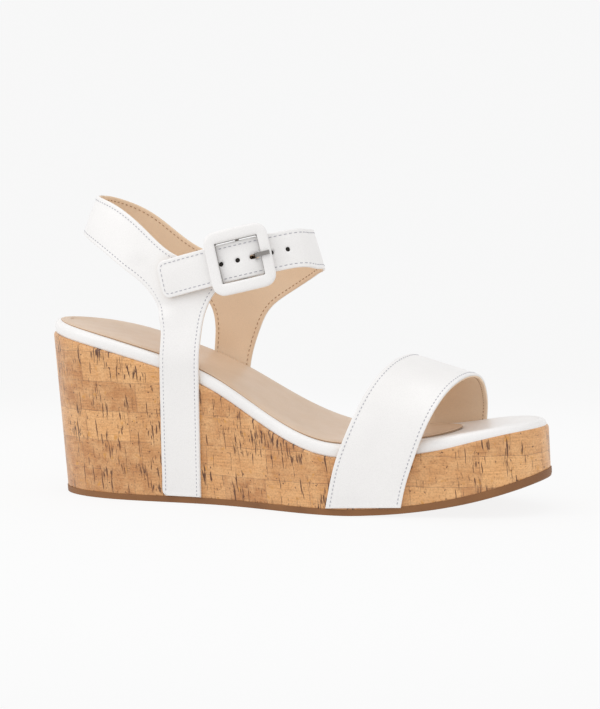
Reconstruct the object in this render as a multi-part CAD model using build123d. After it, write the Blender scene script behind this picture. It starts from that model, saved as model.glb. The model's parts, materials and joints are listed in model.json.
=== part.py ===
from build123d import *
import os
from math import cos, degrees, radians, sin, sqrt

# Wedge sandal for a right foot, in millimetres.
# +X runs from heel to toe, +Z is up, the lateral (buckle) side is -Y.
# While it is modelled, x = 0 is the back of the footbed and z = 0 the ground;
# every piece is moved to the centre of the whole sandal's base when written.

# ---------------------------------------------------------------- dimensions
FOOT_LENGTH = 245.0

# Footbed edge: distance from the heel, lateral and medial half widths, height.
FOOTBED_EDGE = [
    (0.0, 0.0, 0.0, 85.1),
    (3.5, 12.0, 12.5, 84.6),
    (15.0, 24.0, 25.5, 82.7),
    (35.0, 31.0, 31.5, 78.5),
    (60.0, 31.8, 28.6, 72.0),
    (90.0, 31.6, 25.0, 61.6),
    (120.0, 37.4, 28.8, 45.2),
    (150.0, 42.4, 37.6, 33.6),
    (175.0, 39.0, 40.0, 33.3),
    (200.0, 34.2, 38.6, 36.1),
    (220.0, 29.6, 33.6, 39.6),
    (237.0, 18.5, 21.5, 42.2),
    (FOOT_LENGTH, 0.0, 2.0, 43.1),
]
PROFILE_STATIONS = (0.0, 35.0, 60.0, 90.0, 120.0, 150.0, 175.0, 200.0, 220.0, FOOT_LENGTH)
PROFILE_ENDS = 12.0         # the footbed's side view runs on this far past both ends
HEEL_LIFT = 1.5             # and rises by these amounts there
TOE_LIFT = 2.0
WALL_STAND = 1.2            # the wedge wall stands this far outside the footbed edge
HEEL_RAKE = 7.4             # the back of the wedge leans in this far at the ground
TOE_REACH = 2.5             # the toe of the wedge leans out this far
HEEL_INSET = 3.8            # sides lean in at the ground, heel
BALL_INSET = 0.9            # and at the ball of the foot
INSET_FULL = 30.0           # half width at which the lean is full
INSET_FROM = 60.0           # the lean changes from the heel's to the ball's between these
INSET_TO = 150.0
LOFT_HEIGHT = 95.0          # the wall is ruled from the ground up to here

SPRING_FROM = 157.0         # the sole leaves the ground here
SPRING_TO = FOOT_LENGTH + 10
SPRING_RISE = 20.496        # rise of the walking surface by then
UNDER_GROUND = 5.0          # cutting blocks reach this far down,
HALF_ROOM = 70.0            # this far to each side
ROOM_TOP = 150.0            # and this high
OUTSOLE_THICK = 2.9
OUTSOLE_LIP = 0.4
CORK_THICK = 1.4
COVER_THICK = 1.0
PADDING_THICK = 2.6
BOARD_THICK = 2.6
RIM_HEIGHT = COVER_THICK + PADDING_THICK + BOARD_THICK
SOCK_THICK = 0.8
SOCK_INSET = 3.0
SOCK_FRONT = 205.0
SOCK_FRONT_HALF = 26.0
SOCK_CORNER = 6.0           # the ends of its front edge lie this far behind the middle
SOCK_SIDES = 195.0          # it follows the footbed edge up to here
SHANK_FROM = 62.0
SHANK_TO = 152.0
SHANK_WIDTH = 14.0
SHANK_THICK = 1.2
NAIL_RADIUS = 0.9
NAIL_HEAD_RADIUS = 2.2
NAIL_HEAD_THICK = 0.8
NAIL_LENGTH = 19.0
NAIL_SPACING = 11.0
NAIL_CENTRE = 30.0

LEATHER = 1.1               # outer leather of the quarters and the toe strap
LINING = 0.9
TAPE = 0.3                  # reinforcement between the toe strap's leathers
GLUE = 0.03                 # glue line between the toe strap's layers

# The ankle opening is a leaning oval; its back and front edges are straight lines.
BACK_FOOT = (16.6, 126.7)   # x, z of the back edge at the bottom of the heel strap
BACK_LEAN = 0.386
FRONT_FOOT = (136.0, 111.4)
FRONT_LEAN = -0.322
OVAL_POWER = 2.5
OVAL_POINTS = 24
OVAL_LOW = 50.0
OVAL_HIGH = 155.0
SADDLE_HEIGHT = 64.0        # height at which the quarters leave the footbed
LATERAL_LOW = 32.6          # half widths at the saddle
MEDIAL_LOW = 26.6
ANKLE_HEIGHT = 116.0
QUARTER_HALF = 23.6         # half widths at the ankle
STRAP_HALF = 28.6
MEDIAL_HALF = 26.0

# Side view of the quarters: x and z of the points they share.
HEEL_LOW = (12.0, 128.4)
HEEL_HIGH = (19.6, 147.0)
HEEL_FALL = (-1, 0.45)      # directions in which their edges run into the heel,
HEEL_DROP = (1, -0.2)       # leave it
UPWARD = (0, 1)
DOWNWARD = (0, -1)
TURN_LOW = (141.0, 111.8)   # the strap's turn round the front of the ankle
TURN_HIGH = (136.0, 129.8)
STRAP_UNDER = (130.0, 111.7)
STRAP_OVER = (126.0, 129.2)
STRAP_REAR = 66.9           # edges of the lateral strap on the wedge
STRAP_AHEAD = 86.6
MEDIAL_REAR = 72.2
MEDIAL_AHEAD = 91.4
WALL_STRAP_TOP = 68.0       # the straps on the wedge run up to here
QUARTER_BOTTOM = 58.0       # and the ankle shells start here

# Toe strap, from the lateral ground up over the foot and down the medial side:
# front edge point, rear edge point.
TOE_STATIONS = [
    ((187.0, -38.8, 4.6), (152.6, -43.8, 3.4)),
    ((189.2, -39.4, 14.5), (154.6, -44.0, 14.0)),
    ((192.2, -39.8, 24.0), (157.0, -44.2, 24.0)),
    ((196.6, -38.6, 37.0), (161.0, -43.4, 35.5)),
    ((201.0, -33.4, 48.6), (165.8, -38.8, 48.6)),
    ((205.6, -24.4, 57.4), (170.8, -30.0, 60.2)),
    ((209.6, -12.4, 61.8), (176.0, -16.5, 68.2)),
    ((211.4, 2.0, 62.0), (179.8, 0.0, 70.6)),
    ((211.6, 17.0, 58.6), (179.6, 17.0, 67.4)),
    ((210.8, 29.6, 51.4), (176.8, 31.5, 57.6)),
    ((209.6, 37.2, 43.0), (173.4, 39.8, 45.0)),
    ((208.6, 38.8, 33.0), (170.6, 42.2, 33.0)),
    ((207.6, 38.4, 20.0), (168.6, 42.0, 20.0)),
    ((206.4, 37.8, 7.0), (167.0, 41.6, 3.6)),
]

# Buckle frame of reference: u forward along the strap, v across it, w outward.
BUCKLE_X = 104.6
BUCKLE_Y = -23.1
BUCKLE_Z = 115.4
BUCKLE_YAW = 11.5
BUCKLE_LEAN = 8.5
BUCKLE_TILT = 13.5
BUCKLE_SIDE = 30.6
WINDOW_LONG = 20.4
WINDOW_TALL = 19.2
FRAME_THICK = 2.7
FRAME_FLOOR = 4.3
COVER_WRAP = 0.55           # leather over and under the metal ring
COVER_SIDE = 0.9            # and on its sides
COVER_ROUND = 1.1
LUG_LONG = 4.4
LUG_WIDE = 1.9
LUG_OUT = 2.1               # middle of a lug beyond the window's edge
LUG_WALL = 0.6              # metal round the bar
FRAME_CORNER = 6.0
WINDOW_CORNER = 3.0
BAR_RADIUS = 1.0
FIT = 0.05                  # running fit of the loops on the bar
TAB_PLY = 1.0
TAB_WIDTH = 14.0
TAB_LENGTH = 17.0
TAB_SLOT = 3.4
TAB_STACK = 2.6             # thickness of the tab where both plies lie together
SLOT_REACH = 2.3            # the prong's slot runs this far past the loop
SLOT_DEEP = 12.0
CLEAR = 0.3

# Ankle strap: an arc that can slide along itself through the buckle.
STRAP_RADIUS = 105.0
STRAP_WIDTH = 16.8
STRAP_FACE = 0.95
STRAP_BACK = 0.85
STRAP_FLOOR = BAR_RADIUS + FIT + TAB_PLY + CLEAR
HOLE_PITCH = 8.0
HOLE_RADIUS = 1.2
PUNCH_DEPTH = 4.0
PINNED_HOLE = 6.8
PINNED_SLOT = 4.6
PULL = 4.0                  # travel of the strap through the buckle
PRONG_TURN = 40.0           # turn of the prong over that travel
STRAP_SEAM = 17.4
TAIL_SEAM = -17.2
TAIL_END = -41.5
TAIL_CORNER = 4.0
SWEEP_OUT = 12.0            # room kept free outside the strap,
SWEEP_END = 2.0             # past its end
SWEEP_SIDE = 0.6            # and beside it
PRONG_WIDTH = 1.9
PRONG_THICK = 1.1
PRONG_TIP = 14.6
PRONG_LOOP = 0.95           # metal of its loop round the bar
PRONG_STEPS = 4             # places of the travel that its bend is drawn through
PRONG_OVERLAP = 0.6         # it reaches the frame's front bar this far past the window
PRONG_CLIMB_LONG = 2.2      # last point of its rise on to the bar
PRONG_CLIMB_TALL = 1.0


# ------------------------------------------------------------------- outlines
def edge_height(x):
    """Height of the footbed edge at a distance from the heel."""
    for (x0, _, _, z0), (x1, _, _, z1) in zip(FOOTBED_EDGE, FOOTBED_EDGE[1:]):
        if x <= x1:
            return z0 + (z1 - z0) * (x - x0) / (x1 - x0)
    return FOOTBED_EDGE[-1][3]


def side_inset(x):
    """How far the wedge leans in at the ground."""
    share = min(max((x - INSET_FROM) / (INSET_TO - INSET_FROM), 0.0), 1.0)
    return HEEL_INSET + (BALL_INSET - HEEL_INSET) * share


def foot_loop():
    """Footbed edge as one closed run of points: lateral side out, medial side back."""
    lateral = [(x, -lat, z) for x, lat, _, z in FOOTBED_EDGE]
    medial = [(x, med, z) for x, _, med, z in FOOTBED_EDGE[1:-1]]
    return lateral + medial[::-1]


def grown(points, amount):
    """Move each point of a closed loop outward, square to its neighbours."""
    result = []
    for i, (x, y) in enumerate(points):
        before = points[i - 1]
        after = points[(i + 1) % len(points)]
        run_x = after[0] - before[0]
        run_y = after[1] - before[1]
        length = sqrt(run_x**2 + run_y**2)
        result.append((x + amount * run_y / length, y - amount * run_x / length))
    return result


def wall_points(height):
    """Points of the wedge wall at a height, on straight lines from the ground."""
    points = []
    for x, y, z in foot_loop():
        ground_x = HEEL_RAKE + x * (FOOT_LENGTH - HEEL_RAKE + TOE_REACH) / FOOT_LENGTH
        inset = side_inset(x) * min(abs(y) / INSET_FULL, 1.0)
        ground_y = y - inset if y > 0 else y + inset
        share = height / z
        points.append((ground_x + (x - ground_x) * share, ground_y + (y - ground_y) * share))
    return points


def closed_face(points, height):
    """Flat face inside a smooth closed curve through points."""
    curve = Spline([(x, y, height) for x, y in points], periodic=True)
    return Face(Wire([curve]))


def wall_solid(offset):
    """The whole wedge wall as a solid from the ground up, grown by an offset."""
    low = closed_face(grown(wall_points(0.0), offset), 0.0)
    high = closed_face(grown(wall_points(LOFT_HEIGHT), offset), LOFT_HEIGHT)
    return Solid.make_loft([low.outer_wire(), high.outer_wire()], True)


def below_footbed(drop):
    """Everything below the footbed surface lowered by drop."""
    first = FOOTBED_EDGE[0]
    last = FOOTBED_EDGE[-1]
    knots = [(x, z - drop) for x, _, _, z in FOOTBED_EDGE if x in PROFILE_STATIONS]
    start = (first[0] - PROFILE_ENDS, first[3] - drop + HEEL_LIFT)
    stop = (last[0] + PROFILE_ENDS, last[3] - drop + TOE_LIFT)
    top = Spline([start] + knots + [stop])
    sides = Polyline(stop, (stop[0], -UNDER_GROUND), (start[0], -UNDER_GROUND), start)
    return extrude(Plane.XZ * make_face([top, sides]), HALF_ROOM, both=True)


def above_ground(lift):
    """Everything above the walking surface raised by lift, up to the wall's top."""
    near = -PROFILE_ENDS
    handle = (SPRING_FROM + SPRING_TO) / 2
    raised = lift + SPRING_RISE
    flat = Line((near, lift), (SPRING_FROM, lift))
    spring = Bezier((SPRING_FROM, lift), (handle, lift), (SPRING_TO, raised))
    sides = Polyline((SPRING_TO, raised), (SPRING_TO, ROOM_TOP), (near, ROOM_TOP), (near, lift))
    return extrude(Plane.XZ * make_face([flat, spring, sides]), HALF_ROOM, both=True)


# ------------------------------------------------------------------- the sole
def outsole():
    """Thin sole under the whole wedge, a little proud of it all round."""
    return wall_solid(WALL_STAND + OUTSOLE_LIP) & (above_ground(0) - above_ground(OUTSOLE_THICK))


def wedge_body(offset):
    """The wedge from the outsole to the underside of the footbed rim."""
    return wall_solid(offset) & above_ground(OUTSOLE_THICK) & below_footbed(RIM_HEIGHT)


def cork_wrap():
    """Cork sheet wrapped round the side of the wedge."""
    return wedge_body(WALL_STAND) - wall_solid(WALL_STAND - CORK_THICK)


def steel_shank():
    """Strip of spring steel let into the top of the wedge under the arch."""
    length = SHANK_TO - SHANK_FROM
    strip = Pos(SHANK_FROM + length / 2, 0, ROOM_TOP / 2) * Box(length, SHANK_WIDTH, ROOM_TOP)
    return strip & (below_footbed(RIM_HEIGHT) - below_footbed(RIM_HEIGHT + SHANK_THICK))


def heel_nails():
    """Five nails through the insole board into the wedge, heads on the board."""
    nails = []
    spots = [(0, 0), (1, 1), (1, -1), (-1, 1), (-1, -1)]
    for along, across in spots:
        x = NAIL_CENTRE + along * NAIL_SPACING
        top = edge_height(x) - COVER_THICK - PADDING_THICK
        shank = Pos(x, across * NAIL_SPACING, top - NAIL_LENGTH / 2) * Cylinder(NAIL_RADIUS, NAIL_LENGTH)
        head_height = top + NAIL_HEAD_THICK / 2
        head = Pos(x, across * NAIL_SPACING, head_height) * Cylinder(NAIL_HEAD_RADIUS, NAIL_HEAD_THICK)
        nails.append(shank + head)
    return nails


def wedge_core(shank, nails):
    """Moulded wedge inside the cork, with its pockets for the shank and nails."""
    core = wedge_body(WALL_STAND - CORK_THICK) - shank
    for nail in nails:
        core -= nail
    return core


def footbed_layer(inset, drop_top, drop_bottom):
    """A layer of the footbed between two depths, inset from its edge."""
    return wall_solid(-inset) & (below_footbed(drop_top) - below_footbed(drop_bottom))


def insole_board(nails):
    board = footbed_layer(COVER_THICK, COVER_THICK + PADDING_THICK, RIM_HEIGHT)
    for nail in nails:
        board -= nail
    return board


def footbed_padding(nails):
    padding = footbed_layer(COVER_THICK, COVER_THICK, COVER_THICK + PADDING_THICK)
    for nail in nails:
        padding -= nail
    return padding


def footbed_cover():
    """Leather over the footbed, turned down round its edge as the white rim."""
    whole = footbed_layer(0, 0, RIM_HEIGHT)
    return whole - footbed_layer(COVER_THICK, COVER_THICK, RIM_HEIGHT + 1)


def sock_lining():
    """Sock glued on the cover, ending in a round front edge under the toe strap."""
    lateral = [(x, -lat) for x, lat, _, _ in FOOTBED_EDGE if x < SOCK_SIDES]
    medial = [(x, med) for x, _, med, _ in FOOTBED_EDGE[1:] if x < SOCK_SIDES]
    corner = SOCK_FRONT - SOCK_CORNER
    front = [(corner, -SOCK_FRONT_HALF), (SOCK_FRONT + SOCK_INSET, 0), (corner, SOCK_FRONT_HALF)]
    outline = closed_face(grown(lateral + front + medial[::-1], -SOCK_INSET), 0)
    return extrude(outline, ROOM_TOP) & (below_footbed(-SOCK_THICK - GLUE) - below_footbed(-GLUE))


# ------------------------------------------------------------------ the straps
def ribbon(stations, inner, outer):
    """Solid strap through pairs of edge points, between two distances from them."""
    wires = []
    for i, (a, b) in enumerate(stations):
        before = stations[max(i - 1, 0)]
        after = stations[min(i + 1, len(stations) - 1)]
        run = (Vector(*after[0]) + Vector(*after[1])) - (Vector(*before[0]) + Vector(*before[1]))
        normal = run.cross(Vector(*b) - Vector(*a)).normalized()
        corners = [Vector(*a) + normal * outer, Vector(*b) + normal * outer,
                   Vector(*b) + normal * inner, Vector(*a) + normal * inner]
        wires.append(Wire.make_polygon(corners))
    return Solid.make_loft(wires, False)


def strap_room():
    """Space that the sole fills and no strap may enter."""
    wedge = wall_solid(WALL_STAND) & below_footbed(RIM_HEIGHT)
    return wedge + (wall_solid(0) & below_footbed(0))


def toe_layer(inner, outer, room):
    """One layer of the toe strap, clear of the sole and of the ground."""
    layer = ribbon(TOE_STATIONS, inner, outer)
    return (layer & above_ground(OUTSOLE_THICK)) - room


def above_rim(solid):
    """The part of a strap that stands above the footbed's edge."""
    return solid - below_footbed(-CLEAR)


def oval_face(height, half_lateral, half_medial, offset):
    """Ankle oval at a height: a rounded box of power OVAL_POWER."""
    back = BACK_FOOT[0] + BACK_LEAN * (height - BACK_FOOT[1]) - offset
    front = FRONT_FOOT[0] + FRONT_LEAN * (height - FRONT_FOOT[1]) + offset
    points = []
    for i in range(OVAL_POINTS):
        angle = radians(180 + 360 * i / OVAL_POINTS)      # starts at the heel
        along = abs(cos(angle)) ** (2 / OVAL_POWER)
        across = abs(sin(angle)) ** (2 / OVAL_POWER)
        x = (back + front) / 2 + (front - back) / 2 * (along if cos(angle) > 0 else -along)
        half = half_medial if sin(angle) > 0 else half_lateral
        points.append((x, (half + offset) * (across if sin(angle) > 0 else -across)))
    return closed_face(points, height)


def half_at(height, low, ankle):
    """Half width of an oval at a height, straight from the saddle to the ankle."""
    return low + (ankle - low) * (height - SADDLE_HEIGHT) / (ANKLE_HEIGHT - SADDLE_HEIGHT)


def ankle_form(lateral, offset):
    """Leaning oval block that the ankle pieces are shells of."""
    wires = []
    for height in (OVAL_LOW, OVAL_HIGH):
        half_lateral = half_at(height, LATERAL_LOW, lateral)
        half_medial = half_at(height, MEDIAL_LOW, MEDIAL_HALF)
        wires.append(oval_face(height, half_lateral, half_medial, offset).outer_wire())
    return Solid.make_loft(wires, True)


def ankle_shell(lateral, inner, outer):
    """Leather layer of the ankle oval between two offsets."""
    return ankle_form(lateral, outer) - ankle_form(lateral, inner)


def side_cutter(outline, side):
    """Side view outline, made as deep as half the sandal: side is -1 or 1."""
    face = Plane.XZ * make_face(outline)
    return extrude(face, amount=-HALF_ROOM * side)


def lateral_outline():
    """Side view of the lateral quarter: wall strap, heel branch and buckle tongue."""
    rear_top = (STRAP_REAR, 73.0)
    ahead_top = (STRAP_AHEAD, 72.0)
    tongue_high = (99.2, 121.2)
    tongue_low = (102.6, 108.6)
    rear = Line((STRAP_REAR, QUARTER_BOTTOM), rear_top)
    under = Spline(rear_top, (65.2, 88.0), (58.6, 99.2), (42.4, 112.4), (30.9, 119.8), HEEL_LOW,
                   tangents=(UPWARD, HEEL_FALL))
    heel = Line(HEEL_LOW, HEEL_HIGH)
    over = Spline(HEEL_HIGH, (35.2, 142.1), (55.7, 129.0), (71.7, 117.6), (82.0, 115.6), tongue_high,
                  tangents=(HEEL_DROP, (1, 0.3)))
    end = Line(tongue_high, tongue_low)
    ahead = Spline(tongue_low, (91.4, 98.6), (87.2, 87.0), ahead_top, tangents=((-1, -0.35), DOWNWARD))
    front = Line(ahead_top, (STRAP_AHEAD, QUARTER_BOTTOM))
    base = Line((STRAP_AHEAD, QUARTER_BOTTOM), (STRAP_REAR, QUARTER_BOTTOM))
    return [rear, under, heel, over, end, ahead, front, base]


def medial_outline():
    """Side view of the medial quarter: wall strap, heel branch and ankle branch."""
    rear_top = (MEDIAL_REAR, 68.0)
    ahead_top = (MEDIAL_AHEAD, 62.0)
    rear = Line((MEDIAL_REAR, QUARTER_BOTTOM), rear_top)
    under = Spline(rear_top, (73.6, 79.4), (70.4, 92.0), (58.6, 101.4), (42.4, 112.4), (30.9, 119.8),
                   HEEL_LOW, tangents=(UPWARD, HEEL_FALL))
    heel = Line(HEEL_LOW, HEEL_HIGH)
    over = Spline(HEEL_HIGH, (39.8, 138.4), (63.9, 120.4), (80.0, 115.6), (104.0, 121.6), TURN_HIGH,
                  tangents=(HEEL_DROP, (1, 0)))
    turn = Line(TURN_HIGH, TURN_LOW)
    ahead = Spline(TURN_LOW, (126.6, 105.7), (108.8, 95.2), (98.6, 85.0), ahead_top,
                   tangents=((-1, -0.1), DOWNWARD))
    front = Line(ahead_top, (MEDIAL_AHEAD, QUARTER_BOTTOM))
    base = Line((MEDIAL_AHEAD, QUARTER_BOTTOM), (MEDIAL_REAR, QUARTER_BOTTOM))
    return [rear, under, heel, over, turn, ahead, front, base]


def wall_strap(x_rear, x_ahead, side, room):
    """The stretch of a quarter that runs down the wedge wall to the outsole."""
    band = wall_solid(WALL_STAND + LEATHER) - wall_solid(WALL_STAND)
    box = Pos((x_rear + x_ahead) / 2, side * HALF_ROOM / 2, WALL_STRAP_TOP / 2)
    box *= Box(x_ahead - x_rear, HALF_ROOM, WALL_STRAP_TOP)
    return (band & box & above_ground(OUTSOLE_THICK)) - room


def quarter_outer(cutter, lateral, room, wall):
    """Outer leather of a quarter: an ankle shell joined to its wall strap."""
    return ((ankle_shell(lateral, 0, LEATHER) & cutter) - room) + wall


def quarter_lining(cutter, lateral, room):
    """Lining of a quarter, which starts just above the footbed."""
    return above_rim((ankle_shell(lateral, -LINING, 0) & cutter) - room)


# ------------------------------------------------------------------ the buckle
def buckle_plane():
    """Plane of the buckle's bar: x forward along the strap, z outward."""
    yaw = radians(BUCKLE_YAW)
    lean = radians(BUCKLE_LEAN)
    tilt = radians(BUCKLE_TILT)
    level = Vector(cos(yaw), sin(yaw), 0)
    outward = Vector(sin(yaw) * cos(lean), -cos(yaw) * cos(lean), sin(lean))
    up = outward.cross(level)
    along = level * cos(tilt) + up * sin(tilt)
    return Plane(origin=(BUCKLE_X, BUCKLE_Y, BUCKLE_Z), x_dir=along, z_dir=outward)


BUCKLE = buckle_plane()
ARC_CENTRE = STRAP_FLOOR + STRAP_BACK - STRAP_RADIUS     # w of the strap arc's axis


def arc_point(u, v):
    """Point on the seam between strap leather and lining, u measured along it."""
    angle = u / STRAP_RADIUS
    local = Vector(STRAP_RADIUS * sin(angle), v, ARC_CENTRE + STRAP_RADIUS * cos(angle))
    return BUCKLE.from_local_coords(local)


def arc_band(low, high, start, stop, width):
    """Piece of the strap arc between two radii and two places along it."""
    angle = (start / STRAP_RADIUS, stop / STRAP_RADIUS)
    corner = []
    for radius, turn in ((low, angle[0]), (low, angle[1]), (high, angle[1]), (high, angle[0])):
        corner.append((radius * sin(turn), ARC_CENTRE + radius * cos(turn)))
    middle = (angle[0] + angle[1]) / 2
    under = (low * sin(middle), ARC_CENTRE + low * cos(middle))
    over = (high * sin(middle), ARC_CENTRE + high * cos(middle))
    outline = [
        ThreePointArc(corner[0], under, corner[1]),
        Line(corner[1], corner[2]),
        ThreePointArc(corner[2], over, corner[3]),
        Line(corner[3], corner[0]),
    ]
    return BUCKLE.location * extrude(Plane.XZ * make_face(outline), width / 2, both=True)


def strap_hole(u, length):
    """Cutter for a hole through the strap, longer than it is wide if asked."""
    turn = u / STRAP_RADIUS
    place = Pos(STRAP_RADIUS * sin(turn), 0, ARC_CENTRE + STRAP_RADIUS * cos(turn))
    cut = Cylinder(HOLE_RADIUS, 2 * PUNCH_DEPTH)
    if length > 2 * HOLE_RADIUS:
        cut = extrude(SlotOverall(length, 2 * HOLE_RADIUS), PUNCH_DEPTH, both=True)
    return BUCKLE.location * place * Rot(0, degrees(turn), 0) * cut


def strap_layer(low, high):
    """One leather of the strap's moving stretch, with its four holes."""
    layer = arc_band(low, high, TAIL_SEAM, STRAP_SEAM, STRAP_WIDTH)
    layer -= strap_hole(PINNED_HOLE - 2 * HOLE_PITCH, 0)
    layer -= strap_hole(PINNED_HOLE - HOLE_PITCH, 0)
    layer -= strap_hole(PINNED_HOLE, PINNED_SLOT)
    layer -= strap_hole(PINNED_HOLE + HOLE_PITCH, 0)
    return layer


def tail_layer(low, high):
    """One leather of the strap's loose end, with rounded corners."""
    layer = arc_band(low, high, TAIL_END, TAIL_SEAM - FIT, STRAP_WIDTH)
    return fillet(layer.edges().filter_by(is_tail_corner), TAIL_CORNER)


def is_tail_corner(edge):
    """True for the two short edges at the free corners of the tail."""
    local = BUCKLE.to_local_coords(edge.center())
    return edge.length < 2 * STRAP_FACE and local.X < TAIL_END + TAIL_CORNER


def front_outline():
    """Side view of the ankle strap from the buckle to the front of the ankle."""
    half = STRAP_WIDTH / 2
    seam_low = arc_point(STRAP_SEAM + CLEAR, -half)
    seam_high = arc_point(STRAP_SEAM + CLEAR, half)
    low = (seam_low.X, seam_low.Z)
    high = (seam_high.X, seam_high.Z)
    under = Spline(low, STRAP_UNDER, TURN_LOW, tangents=((1, 0.2), (1, 0)))
    over = Spline(TURN_HIGH, STRAP_OVER, high, tangents=((-1, 0), (-1, -0.2)))
    return [under, Line(TURN_LOW, TURN_HIGH), over, Line(high, low)]


def buckle_ring(grow, thick, floor):
    """Square ring with round corners, centred on the bar."""
    outer = RectangleRounded(BUCKLE_SIDE - 2 * grow, BUCKLE_SIDE - 2 * grow, FRAME_CORNER - grow)
    inner = RectangleRounded(WINDOW_LONG + 2 * grow, WINDOW_TALL + 2 * grow, WINDOW_CORNER + grow)
    return Pos(0, 0, floor) * extrude(outer - inner, thick)


def buckle_frame():
    """Cast frame with two lugs that carry the centre bar, inside the leather."""
    ring = buckle_ring(COVER_SIDE, FRAME_THICK - 2 * COVER_WRAP, FRAME_FLOOR + COVER_WRAP)
    lug_low = -BAR_RADIUS - LUG_WALL
    lug_high = FRAME_FLOOR + COVER_WRAP
    for side in (-1, 1):
        lug = Box(LUG_LONG, LUG_WIDE, lug_high - lug_low)
        ring += Pos(0, side * (WINDOW_TALL / 2 + LUG_OUT), (lug_low + lug_high) / 2) * lug
    ring -= Rot(90, 0, 0) * Cylinder(BAR_RADIUS, BUCKLE_SIDE)
    return BUCKLE.location * ring


def buckle_cover(frame):
    """Leather wrapped round the ring."""
    cover = buckle_ring(0, FRAME_THICK, FRAME_FLOOR)
    cover = fillet(cover.faces().sort_by(Axis.Z)[-1].edges(), COVER_ROUND)
    return BUCKLE.location * cover - frame


def buckle_bar():
    """Centre bar, pressed into the lugs."""
    length = WINDOW_TALL + 2 * LUG_OUT + LUG_WIDE
    return BUCKLE.location * Rot(90, 0, 0) * Cylinder(BAR_RADIUS, length)


def buckle_tab(quarter_form):
    """Leather loop that holds the bar, sewn on the end of the lateral quarter."""
    loop_radius = BAR_RADIUS + FIT + TAB_PLY
    top = STRAP_RADIUS - STRAP_BACK - CLEAR
    band = arc_band(top - TAB_STACK, top, -TAB_LENGTH, 0, TAB_WIDTH)
    loop = BUCKLE.location * Rot(90, 0, 0) * Cylinder(loop_radius, TAB_WIDTH)
    tab = (band - quarter_form) + loop
    tab -= BUCKLE.location * Rot(90, 0, 0) * Cylinder(BAR_RADIUS + FIT, TAB_WIDTH + 1)
    slot = Box(2 * (loop_radius + SLOT_REACH), TAB_SLOT, SLOT_DEEP)
    return tab - BUCKLE.location * slot


def prong_line():
    """Middle line of the prong: it stays in the pinned hole as the strap is pulled."""
    points = []
    for i in range(PRONG_STEPS, -1, -1):
        pulled = PULL * i / PRONG_STEPS
        angle = (PINNED_HOLE - pulled) / STRAP_RADIUS
        hole_u = STRAP_RADIUS * sin(angle)
        hole_w = ARC_CENTRE + STRAP_RADIUS * cos(angle)
        turn = radians(PRONG_TURN * i / PRONG_STEPS)
        points.append((hole_u * cos(turn) + hole_w * sin(turn), hole_w * cos(turn) - hole_u * sin(turn)))
    rest = FRAME_FLOOR + FRAME_THICK + PRONG_THICK / 2 + CLEAR / 2
    shoulder = (WINDOW_LONG / 2 + PRONG_OVERLAP, rest)
    root = (BAR_RADIUS + PRONG_THICK / 2, 0.0)
    climb = (shoulder[0] - PRONG_CLIMB_LONG, rest - PRONG_CLIMB_TALL)
    return Spline([root] + points + [climb, shoulder]), shoulder


def buckle_prong():
    """Prong: a loop on the bar and a bent tongue that lies on the front of the frame."""
    line, shoulder = prong_line()
    tongue = trace(line, PRONG_THICK)
    tip = trace(Line((shoulder[0] - FIT, shoulder[1]), (PRONG_TIP, shoulder[1])), PRONG_THICK)
    loop = Circle(BAR_RADIUS + FIT + PRONG_LOOP)
    face = (tongue + tip + loop) - Circle(BAR_RADIUS + FIT)
    return BUCKLE.location * extrude(Plane.XZ * face, PRONG_WIDTH / 2, both=True)


# ---------------------------------------------------------------- the assembly
def strap_path_room():
    """Space that the sliding strap and its tail sweep, with clearance."""
    low = STRAP_RADIUS - STRAP_BACK - CLEAR
    high = STRAP_RADIUS + SWEEP_OUT
    return arc_band(low, high, TAIL_END - PULL - SWEEP_END, STRAP_SEAM, STRAP_WIDTH + 2 * SWEEP_SIDE)


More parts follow.
